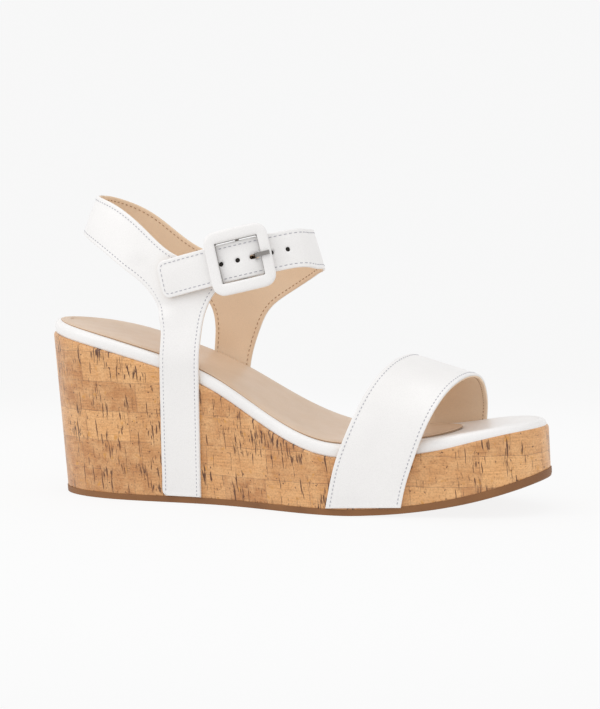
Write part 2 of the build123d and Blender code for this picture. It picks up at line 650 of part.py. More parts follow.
def build():
    """All sub-parts by name."""
    room = strap_room()
    shank = steel_shank()
    nails = heel_nails()
    lateral_wall = wall_strap(STRAP_REAR, STRAP_AHEAD, -1, room)
    medial_wall = wall_strap(MEDIAL_REAR, MEDIAL_AHEAD, 1, room)
    sweep = strap_path_room()
    parts = {}
    parts["outsole"] = outsole()
    parts["wedge_core"] = wedge_core(shank, nails)
    parts["cork_wrap"] = cork_wrap()
    parts["steel_shank"] = shank
    parts["heel_nails"] = Compound([nail.solid() for nail in nails])
    parts["insole_board"] = insole_board(nails)
    parts["footbed_padding"] = footbed_padding(nails)
    parts["footbed_cover"] = footbed_cover()
    parts["sock_lining"] = sock_lining()
    parts["toe_strap_outer"] = toe_layer(0, LEATHER, room)
    tape_top = -GLUE
    tape_base = tape_top - TAPE
    lining_top = tape_base - GLUE
    parts["toe_strap_tape"] = above_rim(toe_layer(tape_base, tape_top, room))
    parts["toe_strap_lining"] = above_rim(toe_layer(lining_top - LINING, lining_top, room))
    lateral = side_cutter(lateral_outline(), -1)
    medial = side_cutter(medial_outline(), 1)
    front = side_cutter(front_outline(), -1) - strap_hole(PINNED_HOLE + 2 * HOLE_PITCH, 0)
    parts["lateral_quarter_outer"] = quarter_outer(lateral, QUARTER_HALF, room, lateral_wall) - sweep
    parts["lateral_quarter_lining"] = quarter_lining(lateral, QUARTER_HALF, room) - sweep
    front_outer = ankle_shell(STRAP_HALF, 0, LEATHER) & front
    front_lining = ankle_shell(STRAP_HALF, -LINING, 0) & front
    parts["medial_quarter_outer"] = quarter_outer(medial, STRAP_HALF, room, medial_wall) + front_outer
    parts["medial_quarter_lining"] = quarter_lining(medial, STRAP_HALF, room) + front_lining
    parts["strap_end_outer"] = strap_layer(STRAP_RADIUS, STRAP_RADIUS + STRAP_FACE)
    parts["strap_end_lining"] = strap_layer(STRAP_RADIUS - STRAP_BACK, STRAP_RADIUS)
    parts["strap_tail_outer"] = tail_layer(STRAP_RADIUS, STRAP_RADIUS + STRAP_FACE)
    parts["strap_tail_lining"] = tail_layer(STRAP_RADIUS - STRAP_BACK, STRAP_RADIUS)
    frame = buckle_frame()
    parts["buckle_frame"] = frame
    parts["buckle_cover"] = buckle_cover(frame)
    parts["buckle_bar"] = buckle_bar()
    parts["buckle_tab"] = buckle_tab(ankle_form(QUARTER_HALF, LEATHER))
    parts["buckle_prong"] = buckle_prong()
    return parts


def as_compound(piece):
    """A piece as one compound of its solids."""
    return Compound(piece.solids())


os.makedirs("parts", exist_ok=True)
pieces = {name: as_compound(piece) for name, piece in build().items()}
whole = Compound(list(pieces.values())).bounding_box()
base = Vector((whole.min.X + whole.max.X) / 2, (whole.min.Y + whole.max.Y) / 2, whole.min.Z)
for name, piece in pieces.items():
    export_step(piece.moved(Location(-base)), f"parts/{name}.step")
print("base centre", base, "size", whole.size)
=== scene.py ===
import json
import math

import bpy
import numpy as np
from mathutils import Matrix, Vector, kdtree
from mathutils.geometry import delaunay_2d_cdt


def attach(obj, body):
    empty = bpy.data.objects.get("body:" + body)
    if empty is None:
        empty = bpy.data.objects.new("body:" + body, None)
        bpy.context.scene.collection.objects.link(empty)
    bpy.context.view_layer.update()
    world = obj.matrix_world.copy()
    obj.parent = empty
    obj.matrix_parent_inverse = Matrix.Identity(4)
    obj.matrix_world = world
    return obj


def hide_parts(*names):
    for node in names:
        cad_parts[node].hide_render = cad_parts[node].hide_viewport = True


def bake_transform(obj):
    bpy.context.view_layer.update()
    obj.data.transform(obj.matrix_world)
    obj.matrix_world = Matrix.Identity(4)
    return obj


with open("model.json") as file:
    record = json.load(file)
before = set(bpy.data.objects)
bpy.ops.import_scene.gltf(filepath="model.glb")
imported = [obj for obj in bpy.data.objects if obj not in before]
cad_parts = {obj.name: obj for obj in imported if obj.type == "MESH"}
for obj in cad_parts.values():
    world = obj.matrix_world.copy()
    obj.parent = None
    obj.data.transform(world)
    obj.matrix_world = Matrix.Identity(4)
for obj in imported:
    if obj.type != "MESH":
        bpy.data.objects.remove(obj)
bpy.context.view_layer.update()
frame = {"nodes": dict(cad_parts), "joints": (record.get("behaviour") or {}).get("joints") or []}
JOINTS = {joint["name"]: joint for joint in frame["joints"]}

# The shapes below are worked out in millimetres from the heel end of the footbed
# (x forward, z up from the ground, lateral side at -y) and moved to the row frame
# with the buckle bar, which both frames know.
MM = 0.001
BAR_AT = np.array((104.6, -23.1, 115.4))
BAR_ROW = np.array(JOINTS["buckle_tilt"]["pos_m"])
SHIFT = BAR_ROW / MM - BAR_AT


def row(points):
    """Millimetres from the heel to metres in the row frame."""
    return (np.asarray(points, float) + SHIFT) * MM


def unit(v):
    return v / np.linalg.norm(v, axis=-1, keepdims=True)


# ------------------------------------------------------------- driving shapes
FOOT_LENGTH = 245.0
# x, lateral half width, medial half width and height of the footbed's edge
FOOTBED_EDGE = np.array([
    (0.0, 0.0, 0.0, 85.1),
    (3.5, 12.0, 12.5, 84.6),
    (15.0, 24.0, 25.5, 82.7),
    (35.0, 31.0, 31.5, 78.5),
    (60.0, 31.8, 28.6, 72.0),
    (90.0, 31.6, 25.0, 61.6),
    (120.0, 37.4, 28.8, 45.2),
    (150.0, 42.4, 37.6, 33.6),
    (175.0, 39.0, 40.0, 33.3),
    (200.0, 34.2, 38.6, 36.1),
    (220.0, 29.6, 33.6, 39.6),
    (237.0, 18.5, 21.5, 42.2),
    (FOOT_LENGTH, 0.0, 2.0, 43.1),
])
PROFILE = (0, 3, 4, 5, 6, 7, 8, 9, 10, 12)     # rows that the height curve runs through
PROFILE_SPAN = (-6, 252)
WALL_STAND = 1.2
HEEL_RAKE = 7.4
TOE_REACH = 2.5
HEEL_INSET = 3.8
BALL_INSET = 0.9
SPRING_FROM = 157.0
SPRING_RISE = 16.8
OUTSOLE = 2.9
RIM = 6.2
TOE_RIM_LOSS = 3.2
LEATHER = 1.1
LINING = 0.9


def spline(knots, values, at):
    """Natural cubic through knots, evaluated at places."""
    knots = np.asarray(knots, float)
    values = np.asarray(values, float)
    gap = np.diff(knots)
    count = len(knots)
    system = np.eye(count)
    right = np.zeros(count)
    for i in range(1, count - 1):
        system[i, i - 1:i + 2] = (gap[i - 1], 2 * (gap[i - 1] + gap[i]), gap[i])
        slopes = np.diff(values[i - 1:i + 2]) / gap[i - 1:i + 1]
        right[i] = 6 * (slopes[1] - slopes[0])
    bend = np.linalg.solve(system, right)
    at = np.asarray(at, float)
    i = np.clip(np.searchsorted(knots, at) - 1, 0, count - 2)
    left = at - knots[i]
    rest = knots[i + 1] - at
    curve = (bend[i] * rest**3 + bend[i + 1] * left**3) / (6 * gap[i])
    line = (values[i] / gap[i] - bend[i] * gap[i] / 6) * rest
    return curve + line + (values[i + 1] / gap[i] - bend[i + 1] * gap[i] / 6) * left


def foot_height(x):
    """Height of the footbed's top along the foot."""
    return spline(FOOTBED_EDGE[PROFILE, 0], FOOTBED_EDGE[PROFILE, 3], np.clip(x, *PROFILE_SPAN))


def ground_height(x):
    """Toe spring of the walking surface."""
    return SPRING_RISE * (np.maximum(x - SPRING_FROM, 0) / (FOOT_LENGTH + TOE_REACH - SPRING_FROM)) ** 2


def side_inset(x):
    share = np.clip((x - 60) / 90, 0, 1)
    return HEEL_INSET + (BALL_INSET - HEEL_INSET) * share


def spline_columns(knots, points, at):
    """Spline through each column of points."""
    return np.stack([spline(knots, column, at) for column in points.T], -1)


def read_along(length, points, at):
    """Points of a polyline at distances along it."""
    return np.stack([np.interp(at, length, column) for column in points.T], -1)


CHORD_POWER = 0.75          # evens out a closed curve through unevenly spaced points
FINE_POINTS = 4000


def distance_along(points):
    """Distance from the first point to each point of a polyline."""
    gaps = np.linalg.norm(np.diff(points, axis=0), axis=1)
    return np.concatenate([[0], np.cumsum(gaps)])


def closed_curve(points, count):
    """Points evenly spaced along a smooth closed curve through points."""
    loop = np.vstack([points[-3:], points, points[:4]])
    gaps = np.linalg.norm(np.diff(loop[:, :2], axis=0), axis=1) ** CHORD_POWER
    chord = np.concatenate([[0], np.cumsum(gaps)])
    fine = np.linspace(chord[3], chord[3 + len(points)], FINE_POINTS, endpoint=False)
    curve = spline_columns(chord, loop, fine)
    length = distance_along(curve[:, :2])
    where = np.linspace(0, length[-1], count, endpoint=False)
    return read_along(length, curve, where)


LOOP_POINTS = 320
LATERAL_EDGE = FOOTBED_EDGE[:, (0, 1)] * (1, -1)
MEDIAL_EDGE = FOOTBED_EDGE[1:-1, (0, 2)]
EDGE_LOOP = closed_curve(np.vstack([LATERAL_EDGE, MEDIAL_EDGE[::-1]]), LOOP_POINTS)


def outward(loop):
    """Outward direction at each point of a closed run."""
    run = np.roll(loop, -1, axis=0) - np.roll(loop, 1, axis=0)
    return unit(np.stack([run[:, 1], -run[:, 0]], -1))


def wall_loop(height, offset):
    """The wedge wall's outline at heights (one per point), grown by an offset."""
    x, y = EDGE_LOOP.T
    ground_x = HEEL_RAKE + x * (FOOT_LENGTH - HEEL_RAKE + TOE_REACH) / FOOT_LENGTH
    ground_y = y - np.sign(y) * side_inset(x) * np.minimum(np.abs(y) / 30, 1)
    share = (height / foot_height(x))[:, None]
    flat = np.stack([ground_x, ground_y], -1) * (1 - share) + EDGE_LOOP * share
    return flat + outward(flat) * offset


def wall_y(x, z, side):
    """Half width of the wedge wall at x and height z on one side."""
    column = 1 if side < 0 else 2
    edge = np.interp(x, FOOTBED_EDGE[:, 0], FOOTBED_EDGE[:, column])
    ground = edge - side_inset(x)
    return ground + (edge - ground) * z / foot_height(x) + WALL_STAND


# The ankle pieces lie on leaning ovals.
OVAL_POWER = 2.5
SADDLE = 64.0
ANKLE = 116.0
LATERAL_LOW = 32.6
MEDIAL_LOW = 26.6
QUARTER_HALF = 23.6
STRAP_HALF = 28.6
MEDIAL_HALF = 26.0
TURN = 55.0                 # millimetres of domain for each radian round the oval
BACK_AT = (16.6, 126.7)     # x and height of a point at the back of the ankle
BACK_LEAN = 0.386
FRONT_AT = (136.0, 111.4)   # and of one at its front
FRONT_LEAN = 0.322
LEAVE_WALL = (62.0, 84.0)   # heights over which a quarter leaves the wedge wall
WALL_CAP = 70.0


def oval_ends(z):
    """Back and front of the ankle oval at a height."""
    return BACK_AT[0] + BACK_LEAN * (z - BACK_AT[1]), FRONT_AT[0] - FRONT_LEAN * (z - FRONT_AT[1])


def half_width(z, low, ankle):
    return low + (ankle - low) * (z - SADDLE) / (ANKLE - SADDLE)


def oval_point(angle, z, lateral):
    """Point of the oval: angle 0 at the heel, pi at the front, medial side first."""
    back, front = oval_ends(z)
    along = -np.sign(np.cos(angle)) * np.abs(np.cos(angle)) ** (2 / OVAL_POWER)
    across = np.sign(np.sin(angle)) * np.abs(np.sin(angle)) ** (2 / OVAL_POWER)
    medial_width = half_width(z, MEDIAL_LOW, MEDIAL_HALF)
    lateral_width = half_width(z, LATERAL_LOW, lateral)
    half = np.where(np.sin(angle) > 0, medial_width, lateral_width)
    x = (back + front) / 2 + (front - back) / 2 * along
    return np.stack([x, half * across, z + 0 * x], -1)


def oval_angle(x, z):
    """Angle from the heel of the oval point at x, between 0 and pi."""
    back, front = oval_ends(z)
    share = np.clip((x - (back + front) / 2) / ((front - back) / 2), -1, 1)
    return np.arccos(-np.sign(share) * np.abs(share) ** (OVAL_POWER / 2))


def ease(value, low, high):
    t = np.clip((value - low) / (high - low), 0, 1)
    return t * t * (3 - 2 * t)


def on_wall(point, side):
    """Lay the lower part of a quarter on the wedge wall."""
    x, z = point[..., 0], point[..., 2]
    share = ease(z, *LEAVE_WALL)
    y = side * wall_y(x, np.minimum(z, WALL_CAP), side) * (1 - share) + point[..., 1] * share
    return np.stack([x, y, z], -1)


# The strap's own arc through the buckle.
V_AXIS = -np.array(JOINTS["buckle_tilt"]["axis"])
ARC_AT = np.array(JOINTS["strap_pull"]["pos_m"]) / MM - SHIFT
ARC_DROP = np.linalg.norm(BAR_AT - ARC_AT)
W_AXIS = (BAR_AT - ARC_AT) / ARC_DROP
U_AXIS = np.cross(V_AXIS, W_AXIS)
ARC_RADIUS = 105.0
STRAP_HALF_WIDTH = 9.1
STRAP_CLEAR = 0.6
SWEEP_FLOOR = ARC_RADIUS - LINING - LEATHER - STRAP_CLEAR      # the quarter stays inside this
HOLLOW_ALONG = (-60.0, -46.5)          # where the hollow under the strap sets in
HOLLOW_ACROSS = (0.8, 9.0)             # where it fades, from the strap's edge outwards
FRONT_TURN = math.pi * TURN
FRAME_EDGE = 214.9          # domain place of the frame's front edge
FRAME_EDGE_U = 17.4
ARC_PACE = 0.883            # strap millimetres for each domain millimetre
STRAP_LEVEL = 120.5
TURN_SPAN = 38.0            # domain length of the strap's turn at the front
TURN_PULL = 36.0


def arc_point(u, v):
    turn = u / ARC_RADIUS
    radial = ARC_RADIUS * np.cos(turn)[..., None] * W_AXIS + ARC_RADIUS * np.sin(turn)[..., None] * U_AXIS
    return ARC_AT + radial + np.asarray(v)[..., None] * V_AXIS


def arc_domain(u):
    return FRAME_EDGE - (u - FRAME_EDGE_U) / ARC_PACE


def front_turn(share, b):
    """Smooth turn of the strap from the front of the ankle to the arc of the buckle."""
    leave = oval_point(math.pi + 0 * b, STRAP_LEVEL + b, STRAP_HALF)
    arrive_u = FRAME_EDGE_U + (FRAME_EDGE - FRONT_TURN - TURN_SPAN) * ARC_PACE
    arrive = arc_point(arrive_u + 0 * b, b)
    heading = arc_point(arrive_u + 0 * b - 1, b) - arrive
    s = share[..., None]
    return ((2 * s**3 - 3 * s**2 + 1) * leave + (s**3 - 2 * s**2 + s) * np.array((0, -TURN_PULL, 0))
            + (3 * s**2 - 2 * s**3) * arrive + (s**3 - s**2) * heading * ARC_PACE * TURN_SPAN)


def under_strap(points):
    """Press the quarter down smoothly where the sliding strap passes over it."""
    local = points - ARC_AT
    u, v, w = local @ U_AXIS, local @ V_AXIS, local @ W_AXIS
    reach = np.hypot(u, w)
    along = np.arctan2(u, w) * ARC_RADIUS
    fade = ease(np.abs(v), STRAP_HALF_WIDTH + HOLLOW_ACROSS[0], STRAP_HALF_WIDTH + HOLLOW_ACROSS[1])
    weight = ease(along, *HOLLOW_ALONG) * (1 - fade)
    pull = 1 - weight * (1 - np.minimum(SWEEP_FLOOR / reach, 1.0))
    return ARC_AT + (u * pull)[..., None] * U_AXIS + v[..., None] * V_AXIS + (w * pull)[..., None] * W_AXIS


def lateral_surface(a, b):
    return under_strap(on_wall(oval_point(-a / TURN, b, QUARTER_HALF), -1))


def ankle_surface(a, b):
    """Medial quarter, front of the ankle and the strap through the buckle."""
    form = on_wall(oval_point(a / TURN, STRAP_LEVEL + b, STRAP_HALF), 1)
    turned = front_turn(np.clip((a - FRONT_TURN) / TURN_SPAN, 0, 1), b)
    arc = arc_point(FRAME_EDGE_U - (a - FRAME_EDGE) * ARC_PACE, b)
    past_front = (a > FRONT_TURN)[..., None]
    past_turn = (a > FRONT_TURN + TURN_SPAN)[..., None]
    return np.where(past_turn, arc, np.where(past_front, turned, form))


def tail_surface(a, b):
    return arc_point(-a, b)


# Toe strap: front and rear edge points from the lateral ground to the medial ground.
TOE_EDGES = np.array([
    ((187.0, -38.8, 4.6), (152.6, -43.8, 3.4)),
    ((189.2, -39.4, 14.5), (154.6, -44.0, 14.0)),
    ((192.2, -39.8, 24.0), (157.0, -44.2, 24.0)),
    ((196.6, -38.6, 37.0), (161.0, -43.4, 35.5)),
    ((201.0, -33.4, 48.6), (165.8, -38.8, 48.6)),
    ((205.6, -24.4, 57.4), (170.8, -30.0, 60.2)),
    ((209.6, -12.4, 61.8), (176.0, -16.5, 68.2)),
    ((211.4, 2.0, 62.0), (179.8, 0.0, 70.6)),
    ((211.6, 17.0, 58.6), (179.6, 17.0, 67.4)),
    ((210.8, 29.6, 51.4), (176.8, 31.5, 57.6)),
    ((209.6, 37.2, 43.0), (173.4, 39.8, 45.0)),
    ((208.6, 38.8, 33.0), (170.6, 42.2, 33.0)),
    ((207.6, 38.4, 20.0), (168.6, 42.0, 20.0)),
    ((206.4, 37.8, 7.0), (167.0, 41.6, 3.6)),
])
TOE_WIDTH = 35.0
TOE_KNOTS = distance_along(TOE_EDGES.mean(axis=1))


def toe_surface(a, b):
    share = (b / TOE_WIDTH)[..., None]
    front = spline_columns(TOE_KNOTS, TOE_EDGES[:, 0], a)
    rear = spline_columns(TOE_KNOTS, TOE_EDGES[:, 1], a)
    return rear * share + front * (1 - share)


# ------------------------------------------------------------------ mesh tools
def add_mesh(name, points, faces, smooth=True):
    mesh = bpy.data.meshes.new(name)
    mesh.from_pydata([tuple(p) for p in points], [], faces)
    mesh.validate()
    mesh.update()
    piece = bpy.data.objects.new(name, mesh)
    bpy.context.scene.collection.objects.link(piece)
    mesh.polygons.foreach_set("use_smooth", [smooth] * len(mesh.polygons))
    return piece


def ring_faces(start, rings, count):
    """Quads between rings of count points that follow each other from start."""
    faces = []
    for first in range(start, start + (rings - 1) * count, count):
        for i in range(count):
            j = (i + 1) % count
            faces.append((first + i, first + j, first + count + j, first + count + i))
    return faces


def ring_caps(start, rings, count):
    """Faces that close the first and last of such rings."""
    last = start + (rings - 1) * count
    return [tuple(start + k for k in reversed(range(count))), tuple(last + k for k in range(count))]


def even_run(points, spacing=1.1):
    """Evenly spaced points along a polyline."""
    points = np.asarray(points, float)
    length = distance_along(points)
    where = np.linspace(0, length[-1], max(int(length[-1] / spacing), 1) + 1)
    return read_along(length, points, where)


def smooth_run(points, spacing):
    """Evenly spaced points on a smooth open curve through points."""
    points = np.asarray(points, float)
    chord = distance_along(points)
    fine = np.linspace(0, chord[-1], 600)
    return even_run(spline_columns(chord, points, fine), spacing)


def outline(*runs):
    """Closed outline from runs that each start where the last one ended."""
    return np.vstack([even_run(run)[:-1] for run in runs])


def inside(points, loop):
    """Which points lie inside a closed loop."""
    x, y = points.T
    result = np.zeros(len(points), bool)
    for (x0, y0), (x1, y1) in zip(loop, np.roll(loop, -1, axis=0)):
        crosses = (y0 > y) != (y1 > y)
        with np.errstate(divide="ignore", invalid="ignore"):
            reach = x0 + (y - y0) * (x1 - x0) / (y1 - y0)
        result ^= crosses & (x < reach)
    return result


def near(points, targets):
    """Distance of each point from the nearest target, in the plane or in space."""
    tree = kdtree.KDTree(len(targets))
    for i, p in enumerate(targets):
        tree.insert((*p, 0) if len(p) == 2 else p, i)
    tree.balance()
    return np.array([tree.find((*p, 0) if len(p) == 2 else p)[2] for p in points])


def normals(surface, ab):
    """Unit normal of a surface at domain points."""
    step = 0.05
    da = surface(ab[:, 0] + step, ab[:, 1]) - surface(ab[:, 0] - step, ab[:, 1])
    db = surface(ab[:, 0], ab[:, 1] + step) - surface(ab[:, 0], ab[:, 1] - step)
    return unit(np.cross(da, db))


MESH_STEP = 1.7
ROW_SHARE = 0.87            # spacing of the grid's rows as a share of MESH_STEP
STITCH_IN = 1.9             # from a strap's edge to its stitches
EDGE_DEPTHS = (0.16, 0.5, 1.2, STITCH_IN)
PROBE = 0.3                 # step that tells the inside of an outline from the outside
POINT_CLEAR = 0.1
GRID_CLEAR = 0.7
HOLE_CLEAR = 0.5
MERGE_DISTANCE = 1e-5
EDGE_ROUND = 0.55
EDGE_FALL = 0.8
GROOVE_DEPTH = 0.1          # the leather pressed in along the stitches
GROOVE_WIDTH = 0.45
SWELL = 0.12                # and its swell between the rows
SWELL_REACH = 4.0


def patch_grid(loop, holes):
    """Triangles that fill an outline, finer along its edge."""
    low, high = loop.min(0), loop.max(0)
    ys = np.arange(low[1] + MESH_STEP / 2, high[1], MESH_STEP * ROW_SHARE)
    grid = []
    for k, y in enumerate(ys):
        xs = np.arange(low[0] + (k % 2) * MESH_STEP / 2, high[0], MESH_STEP)
        grid.append(np.stack([xs, np.full(len(xs), y)], -1))
    grid = np.vstack(grid)
    inward = -outward(loop)
    if not inside((loop + inward * PROBE)[:1], loop)[0]:
        inward = -inward
    solid_edges = [loop] + holes
    free = np.vstack([loop + inward * depth for depth in EDGE_DEPTHS])
    free = free[inside(free, loop)]
    free = free[near(free, loop) > POINT_CLEAR]
    grid = grid[inside(grid, loop)]
    grid = grid[near(grid, loop) > STITCH_IN + GRID_CLEAR]
    points = np.vstack([free, grid])
    for hole in holes:
        middle = hole.mean(0)
        radius = np.linalg.norm(hole - middle, axis=1).max()
        points = points[np.linalg.norm(points - middle, axis=1) > radius + HOLE_CLEAR]
    verts = np.vstack(solid_edges + [points])
    edges = []
    start = 0
    for part in solid_edges:
        count = len(part)
        edges += [(start + i, start + (i + 1) % count) for i in range(count)]
        start += count
    out = delaunay_2d_cdt([Vector(p) for p in verts], edges, [], 0, MERGE_DISTANCE)
    flat = np.array([tuple(p) for p in out[0]])
    faces = np.array(out[2])
    middles = flat[faces].mean(1)
    keep = inside(middles, loop)
    for hole in holes:
        keep &= ~inside(middles, hole)
    return flat, faces[keep]


def border_edges(faces):
    """Directed edges that belong to one face only."""
    count = {}
    for face in faces:
        for i in range(3):
            pair = (face[i], face[(i + 1) % 3])
            key = (min(pair), max(pair))
            count.setdefault(key, []).append(pair)
    return [pairs[0] for pairs in count.values() if len(pairs) == 1]


def leather_solid(name, surface, flat, faces, loop, low, high, outer):
    """Closed leather layer between two offsets, with its open face rounded over at the edge.

    An outer layer is also pressed in along its stitches, and swells a little between them.
    """
    if np.linalg.det(np.hstack([flat[faces[0]], np.ones((3, 1))])) < 0:
        faces = faces[:, ::-1]
    base = surface(flat[:, 0], flat[:, 1])
    normal = normals(surface, flat)
    rim = surface(loop[:, 0], loop[:, 1])
    depth = near(base, rim)
    lip = np.clip(depth / EDGE_ROUND, 0, 1)
    fall = (1 - np.sqrt(np.clip(1 - (1 - lip) ** 2, 0, 1))) * EDGE_ROUND * EDGE_FALL
    if outer:
        dip = GROOVE_DEPTH * np.exp(-((depth - STITCH_IN) / GROOVE_WIDTH) ** 2)
        swell = SWELL * np.clip((depth - STITCH_IN) / SWELL_REACH, 0, 1)
        top, bottom = high - (fall + dip - swell), low
    else:
        top, bottom = high, low + fall
    upper = row(base + normal * np.reshape(top + 0 * depth, (-1, 1)))
    lower = row(base + normal * np.reshape(bottom + 0 * depth, (-1, 1)))
    count = len(flat)
    walls = [(j, i, i + count, j + count) for i, j in border_edges(faces)]
    all_faces = [tuple(f) for f in faces] + [tuple(f[::-1] + count) for f in faces] + walls
    return add_mesh(name, np.vstack([upper, lower]), all_faces)


THREAD = 0.2
THREAD_SIDES = 6
THREAD_SINK = 0.05          # of the outer row in its leather
THREAD_STAND = 0.02         # of the inner row off the lining
STITCH_STATIONS = (-0.5, -0.36, 0.0, 0.36, 0.5)
TIP_WIDTH = 0.15            # share of the thread left at a stitch's tip
TIP_SINK = 0.16
STITCH_SHARE = 0.6          # length of a stitch as a share of the pitch
FINE_PITCH = 1.9
STRAP_PITCH = 2.4


def stitch_path(surface, run, loop, inset):
    """Points, normals and tangents of a seam inset from one run of an outline."""
    ab = even_run(run, 0.5)
    along = unit(np.gradient(ab, axis=0))
    sideways = np.stack([-along[:, 1], along[:, 0]], -1)
    middle = len(ab) // 2
    if not inside(ab[middle:middle + 1] + sideways[middle:middle + 1], loop)[0]:
        sideways = -sideways
    at = surface(ab[:, 0], ab[:, 1])
    inner = ab + sideways * 0.2
    tangent = unit(np.gradient(at, axis=0))
    inward = surface(inner[:, 0], inner[:, 1]) - at
    inward = unit(inward - tangent * np.sum(inward * tangent, axis=1, keepdims=True))
    return at + inward * inset, normals(surface, ab), tangent


def stitches(name, surface, runs, loop, level, pitch):
    """Rows of thread stitches that follow an outline's runs at an inset."""
    points, faces = [], []
    for run in runs:
        path, normal, tangent = stitch_path(surface, run, loop, STITCH_IN)
        length = distance_along(path)
        for centre in np.arange(STITCH_IN, length[-1] - STITCH_IN / 2, pitch):
            start = len(points)
            frames = []
            for end in STITCH_STATIONS:
                s = centre + end * pitch * STITCH_SHARE
                p = read_along(length, path, s)
                n = unit(read_along(length, normal, s))
                t = unit(read_along(length, tangent, s))
                tip = abs(end) == STITCH_STATIONS[-1]
                width = THREAD * (TIP_WIDTH if tip else 1.0)
                sink = TIP_SINK if tip else 0.0
                frames.append((p + n * (level - sink), n, np.cross(n, t), width))
            for p, n, side, width in frames:
                for k in range(THREAD_SIDES):
                    angle = 2 * math.pi * k / THREAD_SIDES
                    points.append(row(p + (n * math.sin(angle) + side * math.cos(angle)) * width))
            faces += ring_faces(start, len(frames), THREAD_SIDES)
            faces += ring_caps(start, len(frames), THREAD_SIDES)
    return add_mesh(name, points, faces)


def ring_sweep(name, rings, uv_length):
    """Skin through closed loops of equal count, with a metric UV map if uv_length is given."""
    count = len(rings[0])
    points = np.vstack([row(ring) for ring in rings])
    piece = add_mesh(name, points, ring_faces(0, len(rings), count))
    if uv_length is not None:
        layer = piece.data.uv_layers.new(name="run")
        for polygon in piece.data.polygons:
            wraps = {index % count for index in polygon.vertices}
            seam = 0 in wraps and count - 1 in wraps
            for loop_index, index in zip(polygon.loop_indices, polygon.vertices):
                place = index % count
                along = uv_length[place] if not (seam and place == 0) else uv_length[-1]
                layer.data[loop_index].uv = (along * MM, points[index][2])
    return piece


# -------------------------------------------------------------------- materials
def new_material(name):
    material = bpy.data.materials.new(name)
    material.use_nodes = True
    tree = material.node_tree
    return material, tree, tree.nodes["Principled BSDF"]


def node(tree, kind, **inputs):
    result = tree.nodes.new(kind)
    for key, value in inputs.items():
        result.inputs[key.replace("_", " ")].default_value = value
    return result


def object_coords(tree, scale=(1, 1, 1)):
    coords = tree.nodes.new("ShaderNodeTexCoord")
    mapping = node(tree, "ShaderNodeMapping", Scale=scale)
    tree.links.new(coords.outputs["Object"], mapping.inputs["Vector"])
    return mapping.outputs["Vector"]


def noise(tree, vector, scale, detail=3.0, rough=0.55):
    result = node(tree, "ShaderNodeTexNoise", Scale=scale, Detail=detail, Roughness=rough)
    tree.links.new(vector, result.inputs["Vector"])
    return result.outputs["Fac"]


def ramp(tree, value, stops):
    result = tree.nodes.new("ShaderNodeValToRGB")
    elements = result.color_ramp.elements
    while len(elements) < len(stops):
        elements.new(0.5)
    for element, (place, colour) in zip(elements, stops):
        element.position = place
        element.color = (*colour, 1)
    tree.links.new(value, result.inputs["Fac"])
    return result.outputs["Color"]


def mask(tree, value, low, high, strength):
    """0 below low, rising to a strength above high."""
    return ramp(tree, value, ((low, (0, 0, 0)), (high, (strength,) * 3)))


def mix(tree, share, first, second, blend="MIX"):
    result = tree.nodes.new("ShaderNodeMix")
    result.data_type = "RGBA"
    result.blend_type = blend
    for socket, value in ((result.inputs[0], share), (result.inputs[6], first), (result.inputs[7], second)):
        if isinstance(value, bpy.types.NodeSocket):
            tree.links.new(value, socket)
        elif isinstance(value, tuple):
            socket.default_value = (*value, 1)
        else:
            socket.default_value = value
    return result.outputs[2]


def bump(tree, shader, *heights):
    """Chain of bump layers: (height socket, strength, distance)."""
    last = None
    for height, strength, distance in heights:
        layer = node(tree, "ShaderNodeBump", Strength=strength, Distance=distance)
        tree.links.new(height, layer.inputs["Height"])
        if last is not None:
            tree.links.new(last, layer.inputs["Normal"])
        last = layer.outputs["Normal"]
    tree.links.new(last, shader.inputs["Normal"])


def leather_material(name, colour, shade, roughness, grain_scale, grain_depth, coat=0.0):
    """Fine grained leather with slow tone changes and soft creases."""
    material, tree, shader = new_material(name)
    space = object_coords(tree)
    slow = noise(tree, space, 22.0, 2.0)
    tone = ramp(tree, slow, ((0.32, shade), (0.66, colour)))
    pores = node(tree, "ShaderNodeTexVoronoi", Scale=grain_scale)
    tree.links.new(space, pores.inputs["Vector"])
    fine = noise(tree, space, grain_scale * 1.7, 2.0)
    speck = ramp(tree, fine, ((0.25, (0.93, 0.93, 0.93)), (0.6, (1, 1, 1))))
    tree.links.new(mix(tree, 1.0, tone, speck, "MULTIPLY"), shader.inputs["Base Color"])
    crease = noise(tree, space, 60.0, 4.0, 0.6)
    shine = ramp(tree, noise(tree, space, 140.0, 3.0), (
        (0.3, (roughness * 0.85,) * 3), (0.7, (min(roughness * 1.18, 1.0),) * 3)))
    tree.links.new(shine, shader.inputs["Roughness"])
    bump(tree, shader, (crease, 0.25, 0.00035), (pores.outputs["Distance"], 0.35, grain_depth),
         (fine, 0.3, grain_depth))
    shader.inputs["Coat Weight"].default_value = coat
    shader.inputs["Coat Roughness"].default_value = 0.35
    shader.inputs["Specular IOR Level"].default_value = 0.4
    return material


CORK_DARK = (0.49, 0.215, 0.072)
CORK_LIGHT = (0.76, 0.41, 0.165)
CORK_JOINT = (0.36, 0.17, 0.07)
CORK_PALE = (0.80, 0.47, 0.215)
CORK_AMBER = (0.60, 0.27, 0.05)
CORK_SLIT = (0.105, 0.034, 0.010)


